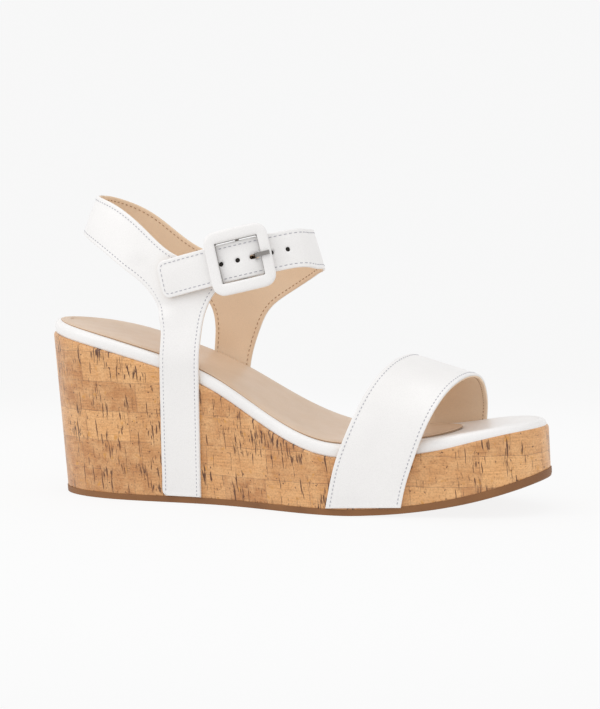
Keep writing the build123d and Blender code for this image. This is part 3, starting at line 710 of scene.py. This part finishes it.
def cork_material():
    """Cork sheet: rows of blocks, fine growth lines and dark upright slits."""
    material, tree, shader = new_material("cork_sheet")
    uv = tree.nodes.new("ShaderNodeUVMap")
    uv.uv_map = "run"
    wobble = node(tree, "ShaderNodeTexNoise", Scale=90.0)
    tree.links.new(uv.outputs["UV"], wobble.inputs["Vector"])
    centred = node(tree, "ShaderNodeVectorMath")
    centred.operation = "SUBTRACT"
    centred.inputs[1].default_value = (0.5, 0.5, 0.5)
    tree.links.new(wobble.outputs["Color"], centred.inputs[0])
    small = tree.nodes.new("ShaderNodeVectorMath")
    small.operation = "SCALE"
    small.inputs["Scale"].default_value = 0.0016
    tree.links.new(centred.outputs[0], small.inputs[0])
    moved = tree.nodes.new("ShaderNodeVectorMath")
    moved.operation = "ADD"
    tree.links.new(uv.outputs["UV"], moved.inputs[0])
    tree.links.new(small.outputs[0], moved.inputs[1])
    space = moved.outputs[0]

    def stretched(scale):
        mapping = node(tree, "ShaderNodeMapping", Scale=scale)
        tree.links.new(space, mapping.inputs["Vector"])
        return mapping.outputs["Vector"]

    bricks = node(tree, "ShaderNodeTexBrick", Scale=1.0, Mortar_Size=0.00022, Mortar_Smooth=0.6, Bias=0.0,
                  Brick_Width=0.034, Row_Height=0.0142, Color1=(*CORK_DARK, 1), Color2=(*CORK_LIGHT, 1),
                  Mortar=(*CORK_JOINT, 1))
    bricks.offset = 0.37
    bricks.squash = 0.7
    bricks.squash_frequency = 2
    tree.links.new(space, bricks.inputs["Vector"])
    lines = noise(tree, stretched((90, 1300, 1)), 1.0, 3.0)
    grain = mix(tree, 1.0, bricks.outputs["Color"], ramp(tree, lines, (
        (0.3, (0.80, 0.76, 0.72)), (0.7, (1.14, 1.14, 1.14)))), "MULTIPLY")
    patches = noise(tree, stretched((1, 1, 1)), 110.0, 5.0, 0.7)
    pale = mask(tree, patches, 0.42, 0.72, 0.75)
    grain = mix(tree, pale, grain, CORK_PALE)
    speckle = noise(tree, stretched((1, 1, 1)), 1100.0, 3.0, 0.7)
    dots = ramp(tree, speckle, ((0.3, (0.72, 0.68, 0.64)), (0.55, (1.03, 1.03, 1.03))))
    grain = mix(tree, 1.0, grain, dots, "MULTIPLY")
    amber = noise(tree, stretched((300, 210, 1)), 1.0, 3.0)
    stain = mask(tree, amber, 0.62, 0.70, 0.8)
    grain = mix(tree, stain, grain, CORK_AMBER)
    cluster = noise(tree, stretched((70, 46, 1)), 1.0, 2.0)
    gate = mask(tree, cluster, 0.50, 0.56, 1.0)
    slit_noise = noise(tree, stretched((950, 105, 1)), 1.0, 2.0, 0.6)
    slit = mask(tree, slit_noise, 0.585, 0.605, 1.0)
    slit = mix(tree, 1.0, slit, gate, "MULTIPLY")
    long_noise = noise(tree, stretched((800, 52, 1)), 1.0, 2.0, 0.5)
    long_slit = mask(tree, long_noise, 0.65, 0.67, 0.95)
    marks = mix(tree, 1.0, slit, long_slit, "LIGHTEN")
    pits = noise(tree, stretched((620, 480, 1)), 1.0, 2.0)
    pit = mask(tree, pits, 0.66, 0.71, 0.85)
    marks = mix(tree, 1.0, marks, pit, "LIGHTEN")
    colour = mix(tree, marks, grain, CORK_SLIT)
    tree.links.new(colour, shader.inputs["Base Color"])
    shader.inputs["Roughness"].default_value = 0.42
    shader.inputs["Coat Weight"].default_value = 0.25
    shader.inputs["Coat Roughness"].default_value = 0.3
    depth = mix(tree, 1.0, (1.0, 1.0, 1.0), marks, "SUBTRACT")
    bump(tree, shader, (lines, 0.15, 0.0002), (depth, 0.6, 0.00035), (bricks.outputs["Fac"], -0.3, 0.0002))
    return material


def toned_material(name, scale, detail, low, dark, light):
    """Material whose colour drifts between two tones."""
    material, tree, shader = new_material(name)
    space = object_coords(tree)
    tone = ramp(tree, noise(tree, space, scale, detail), ((low, dark), (1 - low, light)))
    tree.links.new(tone, shader.inputs["Base Color"])
    return material, tree, shader, space


def darker(colour, share):
    return tuple(c * share for c in colour)


def rubber_material():
    material, tree, shader, space = toned_material(
        "outsole_rubber", 45.0, 3.0, 0.3, (0.19, 0.075, 0.022), (0.26, 0.11, 0.034))
    shader.inputs["Roughness"].default_value = 0.6
    bump(tree, shader, (noise(tree, space, 900.0, 3.0), 0.3, 0.00012))
    return material


def metal_material(name, colour, roughness):
    material, tree, shader, space = toned_material(name, 300.0, 2.0, 0.3, darker(colour, 0.9), colour)
    shader.inputs["Metallic"].default_value = 1.0
    wear = ramp(tree, noise(tree, space, 700.0, 3.0), (
        (0.3, (roughness * 0.7,) * 3), (0.7, (roughness * 1.3,) * 3)))
    tree.links.new(wear, shader.inputs["Roughness"])
    return material


def thread_material(name, colour):
    material, _, shader, _ = toned_material(name, 2600.0, 1.0, 0.35, darker(colour, 0.8), colour)
    shader.inputs["Roughness"].default_value = 0.7
    return material


def plain_material(name, dark, light, scale, roughness):
    """Hidden pieces: board, foam and moulded wedge, with their own grain."""
    material, tree, shader, space = toned_material(name, scale, 5.0, 0.3, dark, light)
    shader.inputs["Roughness"].default_value = roughness
    bump(tree, shader, (noise(tree, space, scale * 3, 3.0), 0.4, 0.0003))
    return material


WHITE = leather_material("white_nappa", (0.865, 0.85, 0.84), (0.81, 0.795, 0.785), 0.36, 1500.0, 0.00003,
                         coat=0.12)
TAN = leather_material("tan_lining", (0.84, 0.655, 0.48), (0.77, 0.575, 0.40), 0.55, 1300.0, 0.00005)
SOCK = leather_material("sock_leather", (0.70, 0.53, 0.39), (0.62, 0.455, 0.32), 0.42, 1300.0, 0.00004, 0.1)
CORK = cork_material()
RUBBER = rubber_material()
CHROME = metal_material("polished_chrome", (0.30, 0.285, 0.27), 0.16)
STEEL = metal_material("plain_steel", (0.16, 0.15, 0.14), 0.3)
GREY_THREAD = thread_material("grey_thread", (0.46, 0.46, 0.50))
TAN_THREAD = thread_material("tan_thread", (0.42, 0.24, 0.13))
# near-black material that paints the shadow seen through the strap's unused holes
PAINTED_HOLE_SHADE = plain_material("hole_shade_paint", (0.012, 0.010, 0.008), (0.035, 0.028, 0.022), 1500.0, 0.9)
BOARD = plain_material("insole_board", (0.30, 0.19, 0.10), (0.42, 0.29, 0.17), 400.0, 0.9)
FOAM = plain_material("latex_foam", (0.68, 0.62, 0.46), (0.80, 0.74, 0.58), 900.0, 0.95)
MOULDED = plain_material("moulded_wedge", (0.52, 0.43, 0.30), (0.62, 0.53, 0.38), 250.0, 0.7)
TAPE = plain_material("woven_tape", (0.70, 0.69, 0.66), (0.86, 0.85, 0.82), 1200.0, 0.9)

CAD_FINISH = {
    "wedge_core": MOULDED, "steel_shank": STEEL, "heel_nails": STEEL, "insole_board": BOARD,
    "footbed_padding": FOAM, "toe_strap_tape": TAPE, "buckle_frame": STEEL, "buckle_bar": CHROME,
    "buckle_tab": WHITE, "buckle_prong": CHROME,
}


def paint(piece, material):
    piece.data.materials.clear()
    piece.data.materials.append(material)


def finish_piece(piece, material, body, slot, *nodes):
    """Material, body and the CAD nodes that a piece stands for; slot is not used."""
    paint(piece, material)
    if body:
        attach(piece, body)
    if nodes:
        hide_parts(*nodes)
    return piece


# ------------------------------------------------------------------- the sole
def loop_at(offset, height):
    """Loop round the wedge at the height that a function of x gives, grown by an offset."""
    x = EDGE_LOOP[:, 0]
    z = height(x)
    flat = wall_loop(z, offset)
    return np.column_stack([flat, z])


def rim_height(x):
    """Height of white rim that shows above the cork, less at the toe."""
    return RIM - TOE_RIM_LOSS * ease(x, 190.0, 240.0)


CORK_RINGS = 25
CORK_SINK = 0.2             # the cork's low edge below the outsole's top
CORK_DROP = 1.4             # where the rolled edge starts, below the white rim
CORK_ROLL = 1.5             # radius of the rolled edge
CORK_TUCK = 2.4             # how far in the edge ends


def build_cork():
    """Cork wall with its top edge rolled in over the wedge."""
    length = distance_along(np.vstack([EDGE_LOOP, EDGE_LOOP[:1]]))
    rings = []
    for share in np.linspace(0, 1, CORK_RINGS):
        def height(x, share=share):
            low = ground_height(x) + OUTSOLE - CORK_SINK
            return low + (foot_height(x) - rim_height(x) - CORK_DROP - low) * share
        rings.append(loop_at(WALL_STAND, height))
    for angle in (20, 45, 70, 90):
        def height(x, angle=angle):
            return foot_height(x) - rim_height(x) - CORK_DROP + CORK_ROLL * math.sin(math.radians(angle))
        rings.append(loop_at(WALL_STAND - CORK_ROLL * (1 - math.cos(math.radians(angle))), height))
    rings.append(loop_at(WALL_STAND - CORK_TUCK, lambda x: foot_height(x) - rim_height(x) + 0.1))
    rings.append(loop_at(WALL_STAND - CORK_TUCK, lambda x: foot_height(x) - rim_height(x) - 1.5))
    piece = ring_sweep("cork_wall", rings, length)
    finish_piece(piece, CORK, "root", "cork", "cork_wrap")


def build_outsole():
    """Sole with softly rounded edges that stand a little out from the cork."""
    bottom = loop_at(WALL_STAND - 6.0, ground_height)
    rings = [bottom * (1, 0, 1), bottom]
    steps = ((-1.2, 0.0), (-0.35, 0.18), (0.1, 0.6), (0.3, 1.3), (0.35, 2.2), (0.2, 2.75), (-0.2, 2.95))
    for offset, lift in steps:
        rings.append(loop_at(WALL_STAND + offset, lambda x, lift=lift: ground_height(x) + lift))
    rings.append(loop_at(WALL_STAND - 3.0, lambda x: ground_height(x) + OUTSOLE))
    piece = ring_sweep("outsole_skin", rings, None)
    finish_piece(piece, RUBBER, "root", "outsole_rubber")


SHEET_HOLLOW = 0.5          # how deep the footbed and sock dish along the middle


def closing_rings(inner, shares, lift):
    """Rings that close a sheet over its middle line, dished a little."""
    middle = inner * (1, 0, 1)
    rings = []
    for share in shares:
        ring = inner * (1 - share) + middle * share
        hollow = SHEET_HOLLOW * math.sin(share * math.pi / 2)
        rings.append(np.column_stack([ring[:, 0], ring[:, 1], foot_height(ring[:, 0]) + lift - hollow]))
    return rings


def build_footbed():
    """Padded footbed: white leather rolled over the edge as the rim."""
    rings = []
    steps = ((-1.0, -RIM), (-0.1, -RIM + 0.1), (0.12, -RIM + 0.9), (0.25, -3.9), (0.15, -2.4), (-0.3, -1.2),
             (-1.1, -0.42), (-2.2, -0.05), (-3.4, 0.04))
    for offset, drop in steps:
        rings.append(loop_at(offset, lambda x, drop=drop: foot_height(x) + drop))
    rings += closing_rings(rings[-1], (0.12, 0.3, 0.5, 0.7, 0.86, 1.0), 0.04)
    piece = ring_sweep("footbed_cover_leather", rings, None)
    finish_piece(piece, WHITE, "root", "white_leather", "footbed_cover", "footbed_padding")


def build_sock():
    """Tan sock with a turned edge and a fine line along its rim."""
    front = 205.0
    half = 26.0
    keep = FOOTBED_EDGE[FOOTBED_EDGE[:, 0] < front - 10]
    lateral = keep[:, (0, 1)] * (1, -1)
    medial = keep[1:, (0, 2)]
    nose = np.array([(front - 6, -half), (front + 3, 0), (front - 6, half)])
    loop = closed_curve(np.vstack([lateral, nose, medial[::-1]]), LOOP_POINTS)
    rings = []
    steps = ((2.9, -0.5), (2.9, 0.25), (3.0, 0.55), (3.3, 0.8), (3.9, 0.95), (4.6, 0.86), (5.0, 0.94),
             (7.0, 1.0))
    for inset, lift in steps:
        flat = loop - outward(loop) * inset
        rings.append(np.column_stack([flat, foot_height(flat[:, 0]) + lift]))
    rings += closing_rings(rings[-1], (0.15, 0.35, 0.55, 0.75, 0.9, 1.0), 1.0)
    line = ring_sweep("sock_edge_paint", [rings[0], rings[1] + (0, 0, 0.05), rings[2] + (0, 0, 0.04)], None)
    finish_piece(line, TAN_THREAD, "root", "sock_leather")
    piece = ring_sweep("sock_leather_sheet", rings, None)
    finish_piece(piece, SOCK, "root", "sock_leather", "sock_lining")


# ------------------------------------------------------------------ the straps
LAYER_GAP = 0.02            # between a strap's leather and its lining
WALL_LOW = 3.3              # lowest point of the wall straps
LATERAL_REAR = 66.9
LATERAL_AHEAD = 86.6
MEDIAL_REAR = 72.2
MEDIAL_AHEAD = 91.4
HEEL_TOP = 145.4
HEEL_LOW_EDGE = [(42.4, 112.4), (30.9, 119.8), (20.8, 125.0), (16.6, 126.7)]
QUARTER_HIGH = (98.4, 118.6)
QUARTER_LOW = (101.0, 109.5)
PINNED = 6.8                # the hole that the prong is in, along the strap's arc
PITCH = 8.0
HOLE_RADIUS = 1.15
HOLE_SIDES = 16
PRONG_SLOT = 2.4
# radius and depths of the dark disks that paint the shadow in the unused strap holes
SHADE_DISK_RADIUS = 1.3
SHADE_DISK_DEPTHS = (-0.3, 0.35)
SEAM_U = -12.9              # where the strap's end meets its loose tail
TAIL_END = 41.5
TAIL_CORNER = 4.0


def strap_pair(name, surface, loop, holes, outer_nodes, lining_nodes, place):
    """Outer leather and lining of one strap piece. place is called on each."""
    flat, faces = patch_grid(loop, holes)
    if outward_sign(surface, loop) < 0:
        surface = flip(surface)
        flat = flat * (-1, 1)
        faces = faces[:, ::-1]
        loop = loop * (-1, 1)
    outer = leather_solid(name + "_face", surface, flat, faces, loop, 0.0, LEATHER, outer=True)
    lining = leather_solid(name + "_back", surface, flat, faces, loop, -LINING, -LAYER_GAP, outer=False)
    place(outer)
    finish_piece(outer, WHITE, None, "white_leather", *outer_nodes)
    place(lining)
    finish_piece(lining, TAN, None, "tan_lining", *lining_nodes)


def flip(surface):
    """The same surface with its first domain axis turned round."""
    return lambda a, b: surface(-a, b)


def outward_sign(surface, loop):
    """1 where the surface's normal points away from the foot."""
    middle = loop.mean(0)[None]
    at = surface(middle[:, 0], middle[:, 1])[0]
    normal = normals(surface, middle)[0]
    away = at - np.array((at[0], 0.0, 30.0))
    return 1 if normal @ away > 0 else -1


def thread_rows(name, surface, runs, loop, place, pitch):
    """Stitch rows on both faces of a strap."""
    side = outward_sign(surface, loop)
    face = stitches(name + "_face_stitches", surface, runs, loop, (LEATHER - THREAD_SINK) * side, pitch)
    place(face)
    finish_piece(face, GREY_THREAD, None, "white_leather")
    back = stitches(name + "_back_stitches", surface, runs, loop, -(LINING + THREAD_STAND) * side, pitch)
    place(back)
    finish_piece(back, TAN_THREAD, None, "tan_lining")


def on_root(piece):
    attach(piece, "root")


def across_ankle(piece):
    """Bake a piece of the ankle strap, from its fixed front to its sliding stretch, into its mesh; it gets no
    bend.
    """
    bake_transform(piece)


def across_tail(piece):
    """Bake a piece of the loose end past the buckled stretch into its mesh; it gets no bend."""
    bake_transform(piece)


def side_run(points, level=0.0):
    """Side view points (x, z) as domain points (a, b)."""
    points = smooth_run(points, 0.8)
    angle = oval_angle(points[:, 0], points[:, 1]) * TURN
    return np.stack([angle, points[:, 1] - level], -1)


def build_lateral_quarter():
    rear = side_run([(68.6, WALL_LOW), (67.3, 4.4)]
                    + [(LATERAL_REAR, z) for z in (6.0, 9.0, 20.0, 40.0, 60.0, 73.0)]
                    + [(65.4, 87), (58.8, 99)] + HEEL_LOW_EDGE)
    heel = np.array([rear[-1], (0.0, HEEL_TOP)])
    over = side_run([(23.8, HEEL_TOP), (35.2, 142.0), (55.7, 129.0), (71.7, 117.6), (84.0, 115.2),
                     QUARTER_HIGH])
    over[0] = heel[1]
    end = side_run([QUARTER_HIGH, QUARTER_LOW])
    ahead = side_run([QUARTER_LOW, (91.4, 98.8), (87.2, 87)]
                     + [(LATERAL_AHEAD, z) for z in (72.0, 58.0, 40.0, 20.0, WALL_LOW)])
    base = np.array([ahead[-1], rear[0]])
    loop = outline(rear, heel, over, end, ahead, base)
    strap_pair("lateral_quarter", lateral_surface, loop, [],
               ["lateral_quarter_outer"], ["lateral_quarter_lining"], on_root)
    thread_rows("lateral_quarter", lateral_surface, [rear, over, ahead], loop, on_root, FINE_PITCH)


def strap_hole(u, extra):
    """Outline of a hole, drawn out along the strap by extra for the prong's travel."""
    angle = np.linspace(0, 2 * math.pi, HOLE_SIDES, endpoint=False)
    along = HOLE_RADIUS * np.cos(angle) + np.sign(np.cos(angle)) * extra / 2
    return np.stack([arc_domain(u) + along / ARC_PACE, HOLE_RADIUS * np.sin(angle)], -1)


def build_hole_shade():
    """Painted shade: near-black disks set inside the unused holes of the strap, standing in for the shadow
    behind them.
    """
    points, faces = [], []
    for step in (-2, -1, 1, 2):
        u = PINNED + step * PITCH
        start = len(points)
        for depth in SHADE_DISK_DEPTHS:
            at = arc_point(np.array(u), np.array(0.0))
            turn = u / ARC_RADIUS
            out = math.cos(turn) * W_AXIS + math.sin(turn) * U_AXIS
            along = math.cos(turn) * U_AXIS - math.sin(turn) * W_AXIS
            for k in range(HOLE_SIDES):
                angle = 2 * math.pi * k / HOLE_SIDES
                spoke = along * math.cos(angle) + V_AXIS * math.sin(angle)
                points.append(row(at + out * depth + spoke * SHADE_DISK_RADIUS))
        faces += ring_caps(start, len(SHADE_DISK_DEPTHS), HOLE_SIDES)
        faces += ring_faces(start, len(SHADE_DISK_DEPTHS), HOLE_SIDES)
    piece = add_mesh("strap_hole_shade_disks", points, faces)
    across_ankle(piece)
    finish_piece(piece, PAINTED_HOLE_SHADE, None, "white_leather")


def build_ankle_strap():
    front = FRONT_TURN
    half = STRAP_HALF_WIDTH
    under = side_run([(131.0, 108.2), (126.6, 105.7), (112.4, 97.4), (101.8, 89.2), (96.7, 79.5), (93.0, 69.0),
                      (91.5, 60.0)] + [(MEDIAL_AHEAD, z) for z in (50.0, 30.0, WALL_LOW)], STRAP_LEVEL)
    low_edge = np.vstack([[(arc_domain(SEAM_U), -half), (arc_domain(6), -half), (FRAME_EDGE - 6, -half),
                           (front + 10, -9.4), (front - 3, -9.6)], under])
    base = side_run([(MEDIAL_AHEAD, WALL_LOW), (MEDIAL_REAR, WALL_LOW)], STRAP_LEVEL)
    rear = side_run([(MEDIAL_REAR, z) for z in (WALL_LOW, 20.0, 40.0, 58.0, 68.0)]
                    + [(73.2, 79.4), (70.4, 91.5), (58.6, 101.2)] + HEEL_LOW_EDGE, STRAP_LEVEL)
    rear[-1, 0] = 0.0
    heel = np.array([rear[-1], (0.0, HEEL_TOP - STRAP_LEVEL)])
    over = side_run([(23.8, HEEL_TOP), (39.8, 137.6), (63.9, 120.2), (80.0, 115.6), (104.0, 121.0)],
                    STRAP_LEVEL)
    over[0] = heel[1]
    high_edge = np.vstack([over, [(front - 12, 8.8), (front + 8, 9.3), (FRAME_EDGE - 6, half),
                                  (arc_domain(6), half), (arc_domain(SEAM_U), half)]])
    seam = np.array([high_edge[-1], low_edge[0]])
    loop = outline(low_edge, base, rear, heel, high_edge, seam)
    holes = [strap_hole(PINNED + step * PITCH, 0.0 if step else PRONG_SLOT) for step in (-2, -1, 0, 1, 2)]
    strap_pair("ankle_strap", ankle_surface, loop, holes,
               ["medial_quarter_outer", "strap_end_outer"], ["medial_quarter_lining", "strap_end_lining"],
               across_ankle)
    thread_rows("ankle_strap", ankle_surface, [low_edge, rear, high_edge], loop, across_ankle, STRAP_PITCH)


def build_tail():
    half = STRAP_HALF_WIDTH
    start, end, corner = -SEAM_U, TAIL_END, TAIL_CORNER
    arc = [(end - corner + corner * math.sin(t), half - corner + corner * math.cos(t))
           for t in np.linspace(0, math.pi / 2, 9)]
    high = np.vstack([[(start, half), ((start + end) / 2, half)], arc[:1]])
    turn = np.array(arc)
    side = np.array([arc[-1], (end, -half + corner)])
    turn_low = np.array([(x, -y) for x, y in arc[::-1]])
    low = np.array([turn_low[-1], ((start + end) / 2, -half), (start, -half)])
    base = np.array([low[-1], high[0]])
    loop = outline(high, turn, side, turn_low, low, base)
    strap_pair("strap_tail_end", tail_surface, loop, [],
               ["strap_tail_outer"], ["strap_tail_lining"], across_tail)
    whole = np.vstack([high[:-1], turn[:-1], side[:-1], turn_low[:-1], low])
    thread_rows("strap_tail_end", tail_surface, [whole], loop, across_tail, STRAP_PITCH)


def build_toe_strap():
    length = TOE_KNOTS[-1]
    front = np.array([(0.0, 0.0), (length, 0.0)])
    medial_end = np.array([(length, 0.0), (length, TOE_WIDTH)])
    rear = np.array([(length, TOE_WIDTH), (0.0, TOE_WIDTH)])
    lateral_end = np.array([(0.0, TOE_WIDTH), (0.0, 0.0)])
    loop = outline(front, medial_end, rear, lateral_end)
    strap_pair("toe_strap", toe_surface, loop, [],
               ["toe_strap_outer", "toe_strap_tape"], ["toe_strap_lining"], on_root)
    thread_rows("toe_strap", toe_surface, [front, rear], loop, on_root, FINE_PITCH)


BUCKLE_HALF = 15.3
WINDOW_HALF = (10.2, 9.6)
BUCKLE_FLOOR = 4.3
BUCKLE_THICK = 2.9
BUCKLE_CORNER = 3.3
TRIM_CORNER = 1.2
TRIM_HALF = 0.22
TRIM_THICK = 0.7
TRIM_LIFT = 0.5


def square_ring(name, half_u, half_v, corner, reach_u, reach_v, thick, floor):
    """Rounded bar run round a square with soft corners, seen along the buckle."""
    path = []
    for quadrant, (su, sv) in enumerate(((1, 1), (-1, 1), (-1, -1), (1, -1))):
        for t in np.linspace(0, math.pi / 2, 10):
            angle = quadrant * math.pi / 2 + t
            path.append((su * (half_u - corner) + corner * math.cos(angle),
                         sv * (half_v - corner) + corner * math.sin(angle)))
    path = closed_curve(np.array(path), 200)
    away = outward(path)
    if away[0] @ path[0] < 0:
        away = -away
    around = np.linspace(0, 2 * math.pi, 20, endpoint=False)
    reach_shape = np.sign(np.cos(around)) * np.abs(np.cos(around)) ** 0.62
    rise_shape = np.sign(np.sin(around)) * np.abs(np.sin(around)) ** 0.72
    points = []
    for place, direction in zip(path, away):
        reach = reach_u + (reach_v - reach_u) * abs(direction[1])
        for across, up in zip(reach_shape * reach, rise_shape * thick / 2):
            u, v = place + direction * across
            points.append(row(BAR_AT + u * U_AXIS + v * V_AXIS + (floor + thick / 2 + up) * W_AXIS))
    count, sides = len(path), len(around)
    faces = []
    for i in range(count):
        for k in range(sides):
            j, m = (i + 1) % count, (k + 1) % sides
            faces.append((i * sides + k, j * sides + k, j * sides + m, i * sides + m))
    return add_mesh(name, points, faces)


def build_buckle():
    """Leather covered frame with a fine metal edge inside its window."""
    half_u = (BUCKLE_HALF + WINDOW_HALF[0]) / 2
    half_v = (BUCKLE_HALF + WINDOW_HALF[1]) / 2
    cover = square_ring("buckle_leather", half_u, half_v, BUCKLE_CORNER,
                        BUCKLE_HALF - half_u, BUCKLE_HALF - half_v, BUCKLE_THICK, BUCKLE_FLOOR)
    finish_piece(cover, WHITE, "buckle", "white_leather", "buckle_cover")
    trim = square_ring("buckle_window_trim", WINDOW_HALF[0], WINDOW_HALF[1], TRIM_CORNER, TRIM_HALF, TRIM_HALF,
                       TRIM_THICK, BUCKLE_FLOOR + TRIM_LIFT)
    finish_piece(trim, CHROME, "buckle", "steel")


def bevel(node_name, width):
    """Soft edges on a CAD piece."""
    modifier = frame["nodes"][node_name].modifiers.new("soft edge", "BEVEL")
    modifier.width = width
    modifier.segments = 2
    modifier.limit_method = "ANGLE"


# ------------------------------------------------------------- stage and camera
FLOOR_FLAT = 0.9            # metres, as the rest of the stage and the lights
FLOOR_BOWL = 1.3


def build_stage():
    """Pale seamless floor: a wide shallow bowl round the sandal."""
    profile = [(0.3, 0.0), (0.6, 0.0), (FLOOR_FLAT, 0.0)]
    profile += [(FLOOR_FLAT + FLOOR_BOWL * math.sin(t), FLOOR_BOWL * (1 - math.cos(t)))
                for t in np.linspace(0.06, math.pi / 2, 24)]
    turns = 96
    points = [(r * math.cos(2 * math.pi * k / turns), r * math.sin(2 * math.pi * k / turns), z)
              for r, z in profile for k in range(turns)]
    faces = []
    for ring in range(len(profile) - 1):
        for k in range(turns):
            a, b = ring * turns + k, ring * turns + (k + 1) % turns
            faces.append((a, a + turns, b + turns, b))
    faces.append(tuple(range(turns)))
    floor = add_mesh("studio_floor", points, faces)
    material, tree, shader = new_material("studio_white")
    space = object_coords(tree)
    distance = node(tree, "ShaderNodeVectorMath")
    distance.operation = "LENGTH"
    tree.links.new(space, distance.inputs[0])
    near_share = node(tree, "ShaderNodeMapRange", From_Min=0.25, From_Max=0.62)
    near_share.interpolation_type = "SMOOTHSTEP"
    tree.links.new(distance.outputs["Value"], near_share.inputs["Value"])
    share = near_share.outputs["Result"]
    tree.links.new(mix(tree, share, (0.10, 0.10, 0.10), (0.0, 0.0, 0.0)), shader.inputs["Base Color"])
    tree.links.new(mix(tree, share, (0.86, 0.86, 0.86), (0.935, 0.935, 0.935)), shader.inputs["Emission Color"])
    shader.inputs["Roughness"].default_value = 0.9
    shader.inputs["Specular IOR Level"].default_value = 0.0
    shader.inputs["Emission Strength"].default_value = 1.0
    paint(floor, material)


def area_light(name, place, target, size, power):
    data = bpy.data.lights.new(name, "AREA")
    data.shape = "SQUARE"
    data.size = size
    data.energy = power
    lamp = bpy.data.objects.new(name, data)
    bpy.context.scene.collection.objects.link(lamp)
    lamp.location = place
    lamp.rotation_euler = (Vector(target) - Vector(place)).to_track_quat("-Z", "Y").to_euler()


LIGHTS = (                  # name, place, size and power
    ("top_soft", (-0.1, -0.25, 1.1), 0.9, 3.0),
    ("left_key", (-0.9, -0.7, 0.7), 0.5, 2.2),
    ("right_fill", (1.0, -0.3, 0.5), 0.6, 0.6),
)
LIGHTS_AT = (0.0, 0.0, 0.06)
WORLD_STRENGTH = 0.8


def build_light():
    world = bpy.data.worlds.new("studio")
    world.use_nodes = True
    world.node_tree.nodes["Background"].inputs["Color"].default_value = (1.0, 1.0, 1.0, 1)
    world.node_tree.nodes["Background"].inputs["Strength"].default_value = WORLD_STRENGTH
    bpy.context.scene.world = world
    for name, place, size, power in LIGHTS:
        area_light(name, place, LIGHTS_AT, size, power)
    bpy.context.scene.view_settings.view_transform = "Standard"


CAMERA_AZIMUTH = math.radians(18.08)
CAMERA_ELEVATION = math.radians(4.95)
CAMERA_DISTANCE = 1.0065
CAMERA_LENS = 106.64
CAMERA_SENSOR = 36.0
CAMERA_TARGET = (126.03, 0.0, 69.78)    # millimetres from the heel


def build_camera():
    target = Vector(row(CAMERA_TARGET))
    back = Vector((math.sin(CAMERA_AZIMUTH) * math.cos(CAMERA_ELEVATION),
                   -math.cos(CAMERA_AZIMUTH) * math.cos(CAMERA_ELEVATION), math.sin(CAMERA_ELEVATION)))
    data = bpy.data.cameras.new("camera")
    data.lens = CAMERA_LENS
    data.sensor_width = CAMERA_SENSOR
    camera = bpy.data.objects.new("camera", data)
    bpy.context.scene.collection.objects.link(camera)
    camera.location = target + back * CAMERA_DISTANCE
    camera.rotation_euler = (-back).to_track_quat("-Z", "Y").to_euler()
    bpy.context.scene.camera = camera


build_camera()
build_stage()
build_light()
for node_name, material in CAD_FINISH.items():
    paint(frame["nodes"][node_name], material)
paint(frame["nodes"]["outsole"], RUBBER)
build_cork()
build_outsole()
build_footbed()
build_sock()
build_lateral_quarter()
build_ankle_strap()
# dark disks of painted shade in the unused strap holes
build_hole_shade()
build_tail()
build_toe_strap()
build_buckle()
bevel("buckle_prong", 0.0002)
